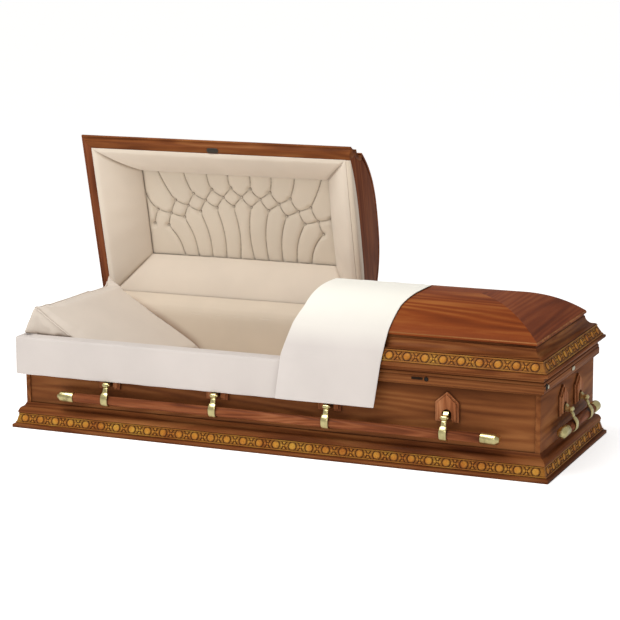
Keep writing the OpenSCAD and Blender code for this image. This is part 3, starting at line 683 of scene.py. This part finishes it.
def strap_arm(bm, place):
    """One cast arm, its side given as (out from the panel, height, half width and thickness in mm):
    a knuckle round the pin, a narrow neck kinked outwards, and a wide strap closed round the bar."""
    spine = [(0.0365, 0.1880, 9.4, 2.6), (0.0400, 0.1840, 9.2, 2.8), (0.0430, 0.1790, 9.0, 3.0),
             (0.0440, 0.1740, 9.4, 3.0), (0.0445, 0.1700, 9.8, 2.9), (0.0450, 0.1692, 8.2, 1.8),
             (0.0455, 0.1684, 8.4, 1.8), (0.0465, 0.1675, 11.6, 2.8), (0.0510, 0.1635, 12.8, 2.7),
             (0.0555, 0.1570, 13.3, 2.5), (0.0590, 0.1490, 13.5, 2.3)]
    for k in range(1, 12):
        angle = math.radians(28 - 18 * k)
        spine.append((BAR_OUT + GRIP * math.cos(angle), BAR_UP + GRIP * math.sin(angle), 13.5 - 0.1 * k, 2.3))
    loops = []
    for k, (u, z, half, thick) in enumerate(spine):
        before, after = spine[max(k - 1, 0)], spine[min(k + 1, len(spine) - 1)]
        way = Vector((after[0] - before[0], after[1] - before[1])).normalized()
        out = Vector((-way.y, way.x))
        if out.dot(Vector((u - BAR_OUT, z - BAR_UP))) < 0:
            out = -out
        half, thick = half / 1000, thick / 1000
        shape = [(-half, -thick), (-half, thick * 0.55), (-half * 0.72, thick), (half * 0.72, thick),
                 (half, thick * 0.55), (half, -thick)]
        loops.append([bm.verts.new(place @ Vector((x, -(u + out.x * t), z + out.y * t))) for x, t in shape])
    bridged(bm, loops)
    for radius, half in ((0.0088, 0.0098), (0.0042, 0.0128)):
        bmesh.ops.create_cone(bm, cap_ends=True, segments=24, radius1=radius, radius2=radius, depth=half * 2,
                              matrix=place @ Matrix.Translation((0, -PIVOT_OUT, PIVOT_UP)) @
                              Matrix.Rotation(QUARTER, 4, "Y"))


for side_name, turn, face in (("front", 0, SIDE_FACE), ("back", math.pi, SIDE_FACE),
                              ("head", -QUARTER, END_FACE), ("foot", QUARTER, END_FACE)):
    long_side = face == SIDE_FACE
    swing = side_name + "_handle"
    eased(side_name + "_shields", shield_wood if long_side else shield_wood_end, "casket", width=0.0016,
          slot="turned_wood", steps=3)
    eased(side_name + "_lugs", antique, "casket", width=0.0008, slot="antique_brass")
    low, high = (Vector(c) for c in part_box(side_name + "_arms"))
    axis = 0 if long_side else 1
    middle = (low + high)[axis] / 2 * (1 if side_name in ("front", "foot") else -1)
    count = 4 if long_side else 2
    bm = bmesh.new()
    for k in range(count):
        along = middle + ((high - low)[axis] - ARM_WIDE) * (k / (count - 1) - 0.5)
        strap_arm(bm, Matrix.Rotation(turn, 4, "Z") @ Matrix.Translation((along, -face, 0)))
    arms = formed(side_name + "_strap_arms", bm, antique)
    rounded(arms, 0.0007, angle=35)
    settled(arms, swing, "antique_brass", side_name + "_arms")
    arms.data.shade_smooth()
    arms.data.set_sharp_from_angle(angle=math.radians(40))
    eased(side_name + "_bar", bar_wood_long if long_side else bar_wood_cross, swing, slot="turned_wood")
    eased(side_name + "_bar_caps", antique, swing, width=0.0009, slot="antique_brass")

# Linings: cream crepe over card and wadding. A weave and a soft nap show close
# to. The walls of the body and the inside of the foot lid are covered with it.
weave, weave_in, weave_out = group("Cloth weave", {"Vector": None, "Threads per metre": 700.0},
                                   ("Height", "Shade"))
threads = add(weave, "VectorMath", {0: weave_in["Vector"], "Scale": weave_in["Threads per metre"]},
              operation="SCALE")
warp, weft = (add(weave, "TexWave", {"Vector": threads, "Scale": 0.5, "Distortion": 1.2}, give="Fac",
                  bands_direction=way) for way in "XZ")
fuzz = add(weave, "TexNoise", {"Vector": threads, "Scale": 0.9, "Detail": 2.0})
join(weave, weave_out, {
    "Height": calc(weave, "ADD", calc(weave, "ADD", warp, weft), fuzz),
    "Shade": add(weave, "TexNoise", {"Vector": weave_in["Vector"], "Scale": 5.0, "Detail": 3.0})})


def cloth(name, tint, shaded, threads_per_metre=700.0, crease=0.02, nap=0.25, fold=0.5, painted_top_light=None):
    """Woven cloth. Its last argument, if given, is a paler colour painted on the cloth's upper parts,
    blending in from 0.41 to 0.57 m up: painted light on the tops.
    """
    m, t, shader = finish(name)
    where = add(t, "TexCoord", give="Object")
    w = add(t, "Group", {"Vector": where, "Threads per metre": threads_per_metre}, None,
            node_tree=weave).outputs
    patch = ramp(t, w["Shade"], (0.3, rgba(tint, 0.93)[:3]), (0.7, tint))
    # Painted light: the upper parts are painted paler.
    if painted_top_light:
        height = add(t, "SeparateXYZ", {"Vector": where}, give="Z")
        patch = painted(t, spread(t, height, 0.0, 1.0, 0.41, 0.57), patch, rgba(painted_top_light))
    # Painted shade: the cloth is darkened towards its shaded colour in creases, folds and corners, by how
    # closed in they are.
    shade_painted_cloth = painted(t, quirks(t, crease, fold), patch, rgba(shaded))
    join(t, shader, {"Base Color": shade_painted_cloth, "Roughness": spread(t, w["Shade"], 0.78, 0.92), "Sheen Weight": nap,
                     "Sheen Roughness": 0.5, "Normal": bump(t, w["Height"], 0.12, 0.0004)})
    return m


crepe = cloth("cream_crepe", tint=(0.66, 0.555, 0.435), shaded=(0.30, 0.18, 0.115), crease=0.03, fold=0.7)


def mesh_piece(name, points, faces, material, turn=None):
    """A new smooth piece from points and faces, its faces turned outwards."""
    mesh = bpy.data.meshes.new(name)
    mesh.from_pydata([tuple(p) for p in points], [], faces)
    bm = bmesh.new()
    bm.from_mesh(mesh)
    bpy.data.meshes.remove(mesh)
    bmesh.ops.remove_doubles(bm, verts=bm.verts, dist=1e-6)
    return formed(name, bm, material, turn=turn, smooth=True)


def grid_faces(rows, cols, ring=False):
    """The faces of a grid of points, row by row. A ring's last row meets its first."""
    return [(i * cols + j, i * cols + j + 1, (i + 1) % rows * cols + j + 1, (i + 1) % rows * cols + j)
            for i in range(rows if ring else rows - 1) for j in range(cols - 1)]


def slab(name, front, back, material, turn=None, ring=False):
    """A closed padded slab: a front and a back grid of the same counts, sewn along their edges."""
    front, back = np.asarray(front), np.asarray(back)
    rows, cols = front.shape[:2]
    half = rows * cols
    faces = grid_faces(rows, cols, ring)
    faces += [tuple(half + v for v in reversed(f)) for f in faces]
    seams = [(i * cols + j, (i + 1) % rows * cols + j) for i in range(rows if ring else rows - 1)
             for j in (0, cols - 1)]
    if not ring:
        seams += [(i * cols + j, i * cols + j + 1) for i in (0, rows - 1) for j in range(cols - 1)]
    faces += [(b, a, a + half, b + half) for a, b in seams]
    return mesh_piece(name, np.vstack([front.reshape(-1, 3), back.reshape(-1, 3)]), faces, material, turn)


# Wall lining: padded cloth on the four inner walls, gathered a little at the
# top edge and slack between its tacks.
WADDING = 0.008
wall_low, wall_high = (np.array(c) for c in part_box("body_lining"))


def wall_lining():
    lo, hi = wall_low, wall_high
    corners = [np.array(c) for c in ((lo[0], lo[1]), (hi[0], lo[1]), (hi[0], hi[1]), (lo[0], hi[1]))]
    front, back = [], []
    for k, (a, b) in enumerate(zip(corners, corners[1:] + corners[:1])):
        length = np.linalg.norm(b - a)
        count = int(length / 0.012)
        way = (b - a) / length
        inside = np.array((-way[1], way[0]))
        for n in range(count):
            p = a + (b - a) * n / count
            near, s = min(n, count - n) / count * length, k * 10 + n * 0.012
            row = []
            for h in np.linspace(0.0, 1.0, 17):
                slack = 0.0016 * math.sin(s * 47 + 1.3 * math.sin(s * 11)) * math.sin(math.pi * h) ** 0.5
                roll = 0.0018 * (1 - math.exp(-((1 - h) / 0.05) ** 2))
                depth = WADDING - 0.003 + slack + roll - 0.003 * math.exp(-(near / 0.012) ** 2)
                row.append((*(p + inside * max(0.001, min(WADDING, depth))), lo[2] + (hi[2] - lo[2]) * h))
            front.append(row)
            back.append([(*p, z) for _, _, z in row])
    return slab("wall_lining", front, back, crepe, ring=True)


lining = settled(wall_lining(), "casket", "cream_lining", "body_lining")


# Foot lid lining: one padded panel, its cloth drawn over a board and tacked
# along its edges inside the lid's frame.
def laid_out(low, high, us, vs):
    """A grid of places over the box, and how far each lies from its edge."""
    U, V = np.meshgrid(us, vs, indexing="ij")
    X, Y = low[0] + U * (high[0] - low[0]), low[1] + V * (high[1] - low[1])
    return X, Y, np.minimum(np.minimum(X - low[0], high[0] - X), np.minimum(Y - low[1], high[1] - Y))


def pad(name, X, Y, Z, flat, material, turn=None):
    """A padded panel with the face Z and a flat back."""
    return slab(name, np.dstack([X, Y, Z]), np.dstack([X, Y, np.full_like(X, flat)]), material, turn)


under_low, under_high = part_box("foot_lid_lining")
X, Y, edge = laid_out(under_low, under_high, np.linspace(0, 1, 60), np.linspace(0, 1, 34))
Z = under_high[2] - 0.003 - (1 - np.exp(-edge / 0.02)) * (under_high[2] - under_low[2] - 0.003)
foot_lining = pad("foot_lid_padding", X, Y, Z, under_high[2], crepe)
settled(foot_lining, "foot_lid", "cream_lining", "foot_lid_lining")


# Mattress: a thick crepe-covered pad filling the body, crowned along its
# middle and pulled down at its piped edge, with a few slack creases.
def creases(x, y, seed, count, size, deep):
    """A few soft random hollows, the same each time."""
    rng = random.Random(seed)
    total = np.zeros_like(x)
    for _ in range(count):
        cx, cy = rng.uniform(x.min(), x.max()), rng.uniform(y.min(), y.max())
        a, long, short = rng.uniform(0, math.pi), size * rng.uniform(0.8, 1.6), size * rng.uniform(0.12, 0.3)
        dx, dy = x - cx, y - cy
        p, q = dx * math.cos(a) + dy * math.sin(a), -dx * math.sin(a) + dy * math.cos(a)
        total += deep * rng.uniform(0.4, 1.0) * np.exp(-(p / long) ** 2 - (q / short) ** 2)
    return total


def crowded(shares, pull):
    """Steps from 0 to 1, drawn closer together at both ends."""
    return 0.5 - 0.5 * np.cos(shares * math.pi) * pull - 0.5 * (1 - pull) * (1 - 2 * shares)


EDGE_ROLL = 0.030
bed_low, bed_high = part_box("mattress")
X, Y, edge = laid_out(bed_low, bed_high, crowded(np.linspace(0, 1, 150), 0.35),
                      crowded(np.linspace(0, 1, 64), 0.5))
Z = bed_high[2] - EDGE_ROLL + EDGE_ROLL * np.sqrt(1 - (1 - np.minimum(edge / 0.06, 1)) ** 2)
Z -= creases(X, Y, 5, 26, 0.09, 0.005)
bed = settled(pad("mattress_pad", X, Y, Z, bed_low[2] + 0.001, crepe), "casket", "cream_lining", "mattress")

# Pillow: a deep wedge of crepe, propped against the head wall with its piped
# upper edge above the rim. Blown up as cloth, then piped.
PILLOW_END, REST_TOP, SKIN_HALF = 0.302, 0.3516, 0.2825
satin = cloth("cream_pillow_crepe", tint=(0.645, 0.56, 0.475), shaded=(0.30, 0.21, 0.155), crease=0.012,
              fold=0.6)


def pillow_section(y):
    """One slice of the wedge, from its foot up the slope and down the head wall."""
    v = (y + PILLOW_END) / (2 * PILLOW_END)
    head_top = 0.466 - 0.022 * v + 0.042 * math.exp(-((1 - v) / 0.045) ** 2)
    spill = math.exp(-(v / 0.16) ** 2)
    return [(-0.566, 0.184), (-0.572, 0.204), (-0.700, 0.290 - 0.012 * spill),
            (-0.835, 0.372 - 0.014 * spill), (-0.930, 0.428 - 0.006 * spill), (-0.992, head_top),
            (-0.994 - 0.020 * spill, 0.415), (-0.992 - 0.048 * spill, 0.358), (-0.966, 0.345),
            (-0.966, 0.184)]


def resampled(points, count):
    """The same line with evenly spaced points."""
    p = np.array(points)
    d = np.r_[0, np.cumsum(np.linalg.norm(np.diff(p, axis=0), axis=1))]
    s = np.linspace(0, d[-1], count)
    return np.stack([np.interp(s, d, p[:, k]) for k in range(p.shape[1])], axis=1)


def tube(name, loops, material, turn=None):
    """A piece swept through closed loops of points, its ends capped."""
    bm = bmesh.new()
    bridged(bm, [[bm.verts.new(p) for p in loop] for loop in loops])
    return formed(name, bm, material, turn=turn, smooth=True)


slices = []
for y in np.linspace(-0.300, 0.300, 61):
    section = pillow_section(y)
    slices.append([(x, y, z) for x, z in resampled(section + section[:1], 97)[:-1]])
pillow = tube("pillow_cushion", slices, satin)


def corners_of(mesh):
    co = np.empty(len(mesh.vertices) * 3)
    mesh.vertices.foreach_get("co", co)
    return co.reshape(-1, 3)


def blown(piece, voxel, pressure, most, frames=20):
    """Remeshes the piece and blows it up as cloth, no point moving further than most."""
    remesh = piece.modifiers.new("remesh", "REMESH")
    remesh.mode, remesh.voxel_size = "VOXEL", voxel
    places = corners_of(baked(piece))
    sim = piece.modifiers.new("cloth", "CLOTH")
    sim.settings.use_pressure = True
    sim.settings.uniform_pressure_force = pressure
    sim.settings.effector_weights.gravity = 0
    sim.settings.quality = 4
    sim.point_cache.frame_end = frames
    for f in range(1, frames + 1):
        scene.frame_set(f)
    move = corners_of(baked(piece)) - places
    scene.frame_set(1)
    places += move * np.minimum(1, most / np.maximum(np.linalg.norm(move, axis=1, keepdims=True), 1e-9))
    piece.data.shade_smooth()
    return places


co = blown(pillow, 0.0075, 3.0, 0.010)
inside = co[:, 2] < 0.352
co[:, 0] = np.where(inside, np.maximum(co[:, 0], -0.9745), co[:, 0])
co[:, 1] = np.where(inside, np.clip(co[:, 1], -SKIN_HALF, SKIN_HALF), co[:, 1])
co[:, 2] = np.maximum(co[:, 2], 0.1805)
over = (np.abs(co[:, 1]) > SKIN_HALF + 0.0003) | (co[:, 0] < -0.9752)
co[:, 2] = np.where(over & ~inside, np.maximum(co[:, 2], REST_TOP), co[:, 2])
pillow.data.vertices.foreach_set("co", co.ravel())
smooth = pillow.modifiers.new("smooth", "SMOOTH")
smooth.factor, smooth.iterations = 0.5, 3


def refined(piece):
    fine = piece.modifiers.new("fine", "SUBSURF")
    fine.levels = fine.render_levels = 1


refined(pillow)
settled(pillow, "casket", "cream_lining", "pillow")
pillow.data.materials.clear()
pillow.data.materials.append(satin)
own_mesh(pillow)

# Piping: a covered cord sewn along the pillow's upper edge and its front seam,
# with a second row of stitching beside it. It flattens with the pillow.
pillow_skin = BVHTree.FromPolygons([v.co for v in pillow.data.vertices],
                                   [p.vertices for p in pillow.data.polygons])


def piping(name, points, radius, lift=0.0008, sides=8):
    """A cord laid on the pillow's skin along the points."""
    path = []
    for p in points:
        spot, normal, _, _ = pillow_skin.find_nearest(Vector(p))
        path.append(spot + normal * lift)
    loops = []
    for k, p in enumerate(path):
        way = (path[min(k + 1, len(path) - 1)] - path[max(k - 1, 0)]).normalized()
        u = way.cross(Vector((0.3, 0.2, 1))).normalized()
        w = way.cross(u)
        size = radius * (0.55 if k in (0, len(path) - 1) else 1.0)
        loops.append([p + (u * math.cos(a) + w * math.sin(a)) * size
                      for a in (math.tau * j / sides for j in range(sides))])
    cord = settled(tube(name, loops, satin), "casket", "cream_lining")
    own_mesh(cord)


piping("pillow_upper_piping", [(-0.998, y, 0.472 - 0.022 * (y + PILLOW_END) / (2 * PILLOW_END))
                               for y in np.linspace(-0.296, 0.288, 90)], 0.0032)
piping("pillow_front_piping", [(-0.990 + 0.155 * t, -0.304, 0.466 - 0.106 * t)
                               for t in np.linspace(0.02, 0.98, 40)], 0.0030)
piping("pillow_front_stitching", [(-0.985 + 0.155 * t, -0.292, 0.466 - 0.101 * t)
                                  for t in np.linspace(0.06, 0.98, 40)], 0.0012, 0.0002)

# Puffing: four padded rolls sewn at mitred corners, filling the head lid from
# its frame up to the tufted panel. Cream crepe over thick wadding.
# A paler copy of the cream crepe, its painted shade in creases reaching less far: the paler tint is painted
# light.
puff_crepe = cloth("puffing_crepe", tint=(0.72, 0.615, 0.50), shaded=(0.34, 0.235, 0.165), crease=0.012,
                   fold=0.6)
PUFF_OUT = (-1.0067, 0.0787, -0.3147, 0.3147)
PUFF_IN = (-0.8577, -0.0483, -0.1897, 0.1717)
PUFF_LOW, PUFF_TOP, BIGHT = 0.354, 0.470, 0.0002


def around(x0, x1, y0, y1):
    return [np.array(c) for c in ((x0, y0), (x1, y0), (x1, y1), (x0, y1))]


def rolls():
    x0, x1, y0, y1 = PUFF_OUT
    outer, inner = around(*PUFF_OUT), around(*PUFF_IN)
    deep = PUFF_TOP - PUFF_LOW
    front, back = [], []
    for k in range(4):
        o0, o1, i0, i1 = outer[k], outer[(k + 1) % 4], inner[k], inner[(k + 1) % 4]
        length = np.linalg.norm(o1 - o0)
        count = max(40, int(length / 0.010))
        for s in crowded(np.linspace(0, 1, count, endpoint=False), 0.5):
            o, i = o0 + (o1 - o0) * s, i0 + (i1 - i0) * s
            wide = np.linalg.norm(i - o)
            normal = np.array([0, 0, -1.0]) * wide + np.array([*((i - o) / wide), 0]) * deep
            normal = normal / np.linalg.norm(normal)
            seam = 1 - 0.55 * math.exp(-(min(s, 1 - s) * length / 0.006) ** 1.2)
            wave = 0.0012 * math.sin(s * length * 38 + 2.0 * math.sin(s * length * 9 + k))
            row_front, row_back = [], []
            for t in np.linspace(0, 1, 30):
                x, y, z = *(o + (i - o) * t), PUFF_LOW + deep * t
                swell = 0.003 + 0.019 * math.sin(math.pi * min(1, t * 0.96 + 0.02)) ** 0.62 * seam
                q = np.array([x, y, z]) + normal * (swell + wave * math.sin(math.pi * t) * seam)
                row_front.append((np.clip(q[0], x0 + BIGHT, x1 - BIGHT),
                                  np.clip(q[1], y0 + BIGHT, y1 - BIGHT),
                                  max(q[2], PUFF_LOW + 0.0004)))
                row_back.append((x, y, z + 0.004 * math.sin(math.pi * t)))
            front.append(row_front)
            back.append(row_back)
    return slab("lid_puffing_rolls", front, back, puff_crepe, LID_TURN, ring=True)


puffing = settled(rolls(), "head_lid", "cream_lining", "head_lid_puffing")

# Tufted panel in the head lid: three curved rows of buttons, small diamonds
# between them, and folded pleats fanning out to the top and bottom edges.
# A paler copy still of the cream crepe, darkened hard in its pleats and dimples: painted light in the tint,
# painted shade in the pleats.
tuft_crepe = cloth("tufted_crepe", tint=(0.75, 0.645, 0.515), shaded=(0.17, 0.11, 0.065), crease=0.006,
                   fold=1.0)
PANEL_FRONT, PANEL_BACK, PANEL_LAP = 0.4725, 0.4895, 0.004
FAN_X, FAN_Y, TOP_Y, FOOT_Y, FAR = -0.437, 0.55, PUFF_IN[2], PUFF_IN[3], 9.0
tufts = []
for pitch, count, crest, bow in ((0.084, 10, -0.128, 0.77), (0.080, 11, -0.090, 0.83),
                                 (0.075, 10, -0.050, 0.85)):
    across = [(k - (count - 1) / 2) * pitch for k in range(count)]
    tufts.append([(FAN_X + dx, crest + bow * dx * dx) for dx in across])
folds = []
for x, y in tufts[0]:
    dx, dy = x - FAN_X, y - FAN_Y
    side_x = PUFF_IN[1] if x > FAN_X else PUFF_IN[0]
    k = min((TOP_Y - y) / dy, (side_x - x) / dx if dx else FAR)
    folds.append(((x, y), (x + dx * k, y + dy * k), 0.004))
for x, y in tufts[2]:
    folds.append(((x, y), (FAN_X + (x - FAN_X) * 0.82, FOOT_Y), 0.012))
for upper, lower in zip(tufts, tufts[1:]):
    for a in upper:
        for b in sorted(lower, key=lambda q: (q[0] - a[0]) ** 2)[:2]:
            if abs(a[0] - b[0]) < 0.062:
                folds.append((a, b, 0.0))


def tufted():
    """The wadding swells between the folds and is pulled down at the buttons."""
    low = (PUFF_IN[0] - PANEL_LAP, PUFF_IN[2] - PANEL_LAP)
    high = (PUFF_IN[1] + PANEL_LAP, PUFF_IN[3] + PANEL_LAP)
    X, Y, border = laid_out(low, high, np.linspace(0, 1, 380), np.linspace(0, 1, 170))
    nearest, at_button = np.full_like(X, FAR), np.full_like(X, FAR)
    for (ax, ay), (bx, by), bend in folds:
        dx, dy = bx - ax, by - ay
        length = math.hypot(dx, dy)
        t = np.clip(((X - ax) * dx + (Y - ay) * dy) / length ** 2, 0, 1)
        sway = bend * np.sin(math.pi * t) * (-1 if (ax + bx) / 2 < FAN_X else 1)
        px, py = ax + dx * t - dy / length * sway, ay + dy * t + dx / length * sway
        nearest = np.minimum(nearest, np.hypot(X - px, Y - py) + 0.0006)
    for bx, by in sum(tufts, []):
        at_button = np.minimum(at_button, np.hypot(X - bx, Y - by))
    swell = np.sqrt(1 - (1 - np.minimum(nearest / 0.024, 1)) ** 2) * 0.70 \
        + 0.30 * (1 - np.exp(-nearest / 0.0014))
    swell *= 1 - 0.95 * np.exp(-(at_button / 0.011) ** 2)
    swell *= 0.75 + 0.25 * np.sqrt(1 - (1 - np.minimum(border / 0.03, 1)) ** 2)
    Z = PANEL_BACK - 0.002 - (PANEL_BACK - PANEL_FRONT - 0.001) * swell
    return pad("tufted_cap_panel", X, Y, Z, PANEL_BACK + 0.001, tuft_crepe, LID_TURN)


cap_panel = settled(tufted(), "head_lid", "cream_lining", "head_lid_cap_panel")


def button_tree():
    """Geometry Nodes: a small covered button at each tuft."""
    g, size = node_tree("Tuft buttons", button_radius=0.0034, button_depth=0.0022)
    ball = add(g, "GeometryNodeMeshUVSphere", {"Segments": 14, "Rings": 8, "Radius": 1.0}, give="Mesh")
    button = sized_to(g, ball, size["Button radius"], size["Button radius"], size["Button depth"])
    return closed(g, size, add(g, "GeometryNodeInstanceOnPoints",
                               {"Points": size["Geometry"], "Instance": button}))


button_marks = bpy.data.meshes.new("tuft_buttons")
button_marks.from_pydata([(x, y, PANEL_BACK - 0.0062) for x, y in sum(tufts, [])], [], [])
buttons = stood("tuft_buttons", button_marks)
grown(buttons, button_tree(), tuft_crepe).transform(LID_TURN)
settled(buttons, "head_lid", "cream_lining")


# Hinge flap: the crepe that runs up the back wall from the mattress and on over
# the hinges to the lid's lowest roll. It is tacked to both.
def draped(name, rows, material, thick, offset=0.0):
    """A sheet of cloth through rows of points, as thick as the real one."""
    piece = mesh_piece(name, [p for row in rows for p in row], grid_faces(len(rows), len(rows[0])), material)
    wall = piece.modifiers.new("cloth", "SOLIDIFY")
    wall.thickness, wall.offset = thick, offset
    return piece


flap_x0, flap_x1 = wall_low[0] + 0.002, PUFF_OUT[1] - 0.0005
flap_line = resampled([(0.2826, 0.1720), (0.2826, 0.2700), (0.2832, 0.3100), (0.2848, 0.3350),
                       (0.2886, 0.3530), (0.2960, 0.3690), (0.3110, 0.3860), (0.3375, 0.4085)], 41)
rows = [[(x, y - 0.0006 * (1 + math.sin(x * 52 + 2 * math.sin(x * 13))) * math.sin(math.pi * k / 40), z)
         for k, (y, z) in enumerate(flap_line)] for x in np.linspace(flap_x0, flap_x1, 150)]
flap = draped("hinge_flap", rows, crepe, 0.0009)
baked(flap)
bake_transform(flap)

# Header cover: the roll's crepe is turned over the head lid's header board and
# stapled to its outer face along an arch, so little wood shows below it.
COVER_IN, COVER_OUT, COVER_LOW, COVER_ARCH, TURN = 0.0787, 0.0984, 0.3528, 0.036, 0.0012


def cover():
    rows = []
    for y in np.linspace(-0.3138, 0.3138, 90):
        top = 0.3545 + COVER_ARCH * max(0.0, 1 - (abs(y) / 0.316) ** 3)
        rows.append([(x, y, z) for x, z in (
            (COVER_IN, 0.362), (COVER_IN, COVER_LOW + TURN), (COVER_IN + TURN, COVER_LOW),
            (COVER_OUT - TURN, COVER_LOW), (COVER_OUT, COVER_LOW + TURN), (COVER_OUT, top - 0.001),
            (COVER_OUT - 0.0011, top), (COVER_OUT - TURN, COVER_LOW + 0.0020),
            (COVER_OUT - 0.0020, COVER_LOW + TURN), (COVER_IN + TURN, COVER_LOW + TURN),
            (COVER_IN + 0.001, 0.362))])
    return tube("header_cover", rows, crepe, LID_TURN)


header_cover = cover()
header_cover.data.set_sharp_from_angle(angle=math.radians(50))
settled(header_cover, "head_lid", "cream_lining")

# Skirt: a strip of thick off-white velvet laid over the front and head rails,
# mitred at the corner, hanging straight down outside the body.
SKIRT_X, SKIRT_Y, SKIRT_TOP, SKIRT_HEM, SKIRT_CUT = -1.045, -0.353, 0.3508, 0.206, 0.095
CORNER, TOP_ROLL, STAND_OFF = 0.008, 0.007, 0.0015
PILE = dict(shaded=(0.36, 0.31, 0.27), threads_per_metre=420.0, crease=0.03, fold=0.4)
skirt_velvet = cloth("off_white_skirt_velvet", tint=(0.605, 0.545, 0.505), nap=0.2, **PILE)
stations = [(x, SKIRT_Y, 0, -1) for x in np.linspace(SKIRT_CUT, SKIRT_X + CORNER, 96)]
for a in np.linspace(0, math.pi / 2, 6)[1:-1]:
    c, s = math.cos(a), math.sin(a)
    stations.append((SKIRT_X + CORNER * (1 - s), SKIRT_Y + CORNER * (1 - c), -s / max(c, s), -c / max(c, s)))
stations += [(SKIRT_X, y, -1, 0) for y in np.linspace(SKIRT_Y + CORNER, 0.2915, 54)]
section = [(STAND_OFF, z) for z in np.linspace(SKIRT_HEM + 0.001, SKIRT_TOP - 0.009, 14)]
for a in np.linspace(0, math.pi / 2, 6)[1:]:
    section.append((STAND_OFF + TOP_ROLL * (1 - math.cos(a)), SKIRT_TOP - TOP_ROLL * (1 - math.sin(a))))
section += [(inset, SKIRT_TOP) for inset in np.linspace(0.014, 0.0600, 8)]
rows = []
for k, (x, y, out_x, out_y) in enumerate(stations):
    wave = 0.0016 * (math.sin(k * 0.61) + 0.6 * math.sin(k * 0.23 + 1))
    reach = [(inset + wave * max(0.0, (0.34 - z) / 0.14), z) for inset, z in section]
    rows.append([(x - out_x * d, y - out_y * d, z) for d, z in reach])
skirt = draped("velvet_skirt", rows, skirt_velvet, 0.0028)
refined(skirt)
settled(skirt, "casket", "white_cloth", "rim_skirt")

# Throw: a folded length of the same velvet laid over the foot lid beside the
# opening, from just past the ridge down the front, its lower part hanging free.
CROWN_UP, HANG = 0.0022, 0.165
# The throw's tops are painted paler: painted light.
velvet = cloth("off_white_velvet", tint=(0.625, 0.566, 0.527), nap=0.6, painted_top_light=(0.95, 0.92, 0.82), **PILE)
line = [(y, arch(y) + CROWN_UP) for y in (0.058 - 0.01 * k for k in range(36)) if y > -0.296]
line += [(-0.3030, EAVE + 0.0015), (-0.3075, CROWN_FOOT + 0.0005), (-0.3370, 0.4233), (-0.3582, 0.3858),
         (-0.3646, 0.3745), (-0.3648, 0.3560), (-0.3642, 0.2100)]
line = resampled(line, 110)
for _ in range(3):
    line[1:-1] = (line[:-2] + 2 * line[1:-1] + line[2:]) / 4
run = np.r_[0, np.cumsum(np.linalg.norm(np.diff(line, axis=0), axis=1))]
slope = np.gradient(line, axis=0)
face_out = np.stack([slope[:, 1], -slope[:, 0]], axis=1)
face_out /= np.linalg.norm(face_out, axis=1, keepdims=True)
lip_at = run[-1] - HANG
left = np.interp(run, [0, 0.10, 0.30, lip_at, run[-1]], [0.1008, 0.1006, 0.0960, 0.061, 0.036])
right = np.interp(run, [0, 0.10, 0.18, 0.25, lip_at, run[-1]], [0.480, 0.477, 0.466, 0.455, 0.445, 0.418])
rows = []
for k, (y, z) in enumerate(line):
    rows.append([])
    free = max(0.0, (run[k] - lip_at) / HANG)
    for t in np.linspace(0, 1, 84):
        x = left[k] + (right[k] - left[k]) * t
        ease = (0.5 - 0.5 * math.cos(math.tau * (t * 1.6 + 0.1))) * 0.0026 * free \
            + 0.0006 * math.sin(x * 60 + run[k] * 14)
        d = max(0.0, ease) + 0.0010 * math.sin(math.pi * t) * (1 - free)
        rows[-1].append((x, y - abs(face_out[k][0]) * d, z + abs(face_out[k][1]) * d))
throw = draped("velvet_throw", rows, velvet, 0.0030, 1.0)
refined(throw)
settled(throw, "foot_lid", "white_cloth", "throw")
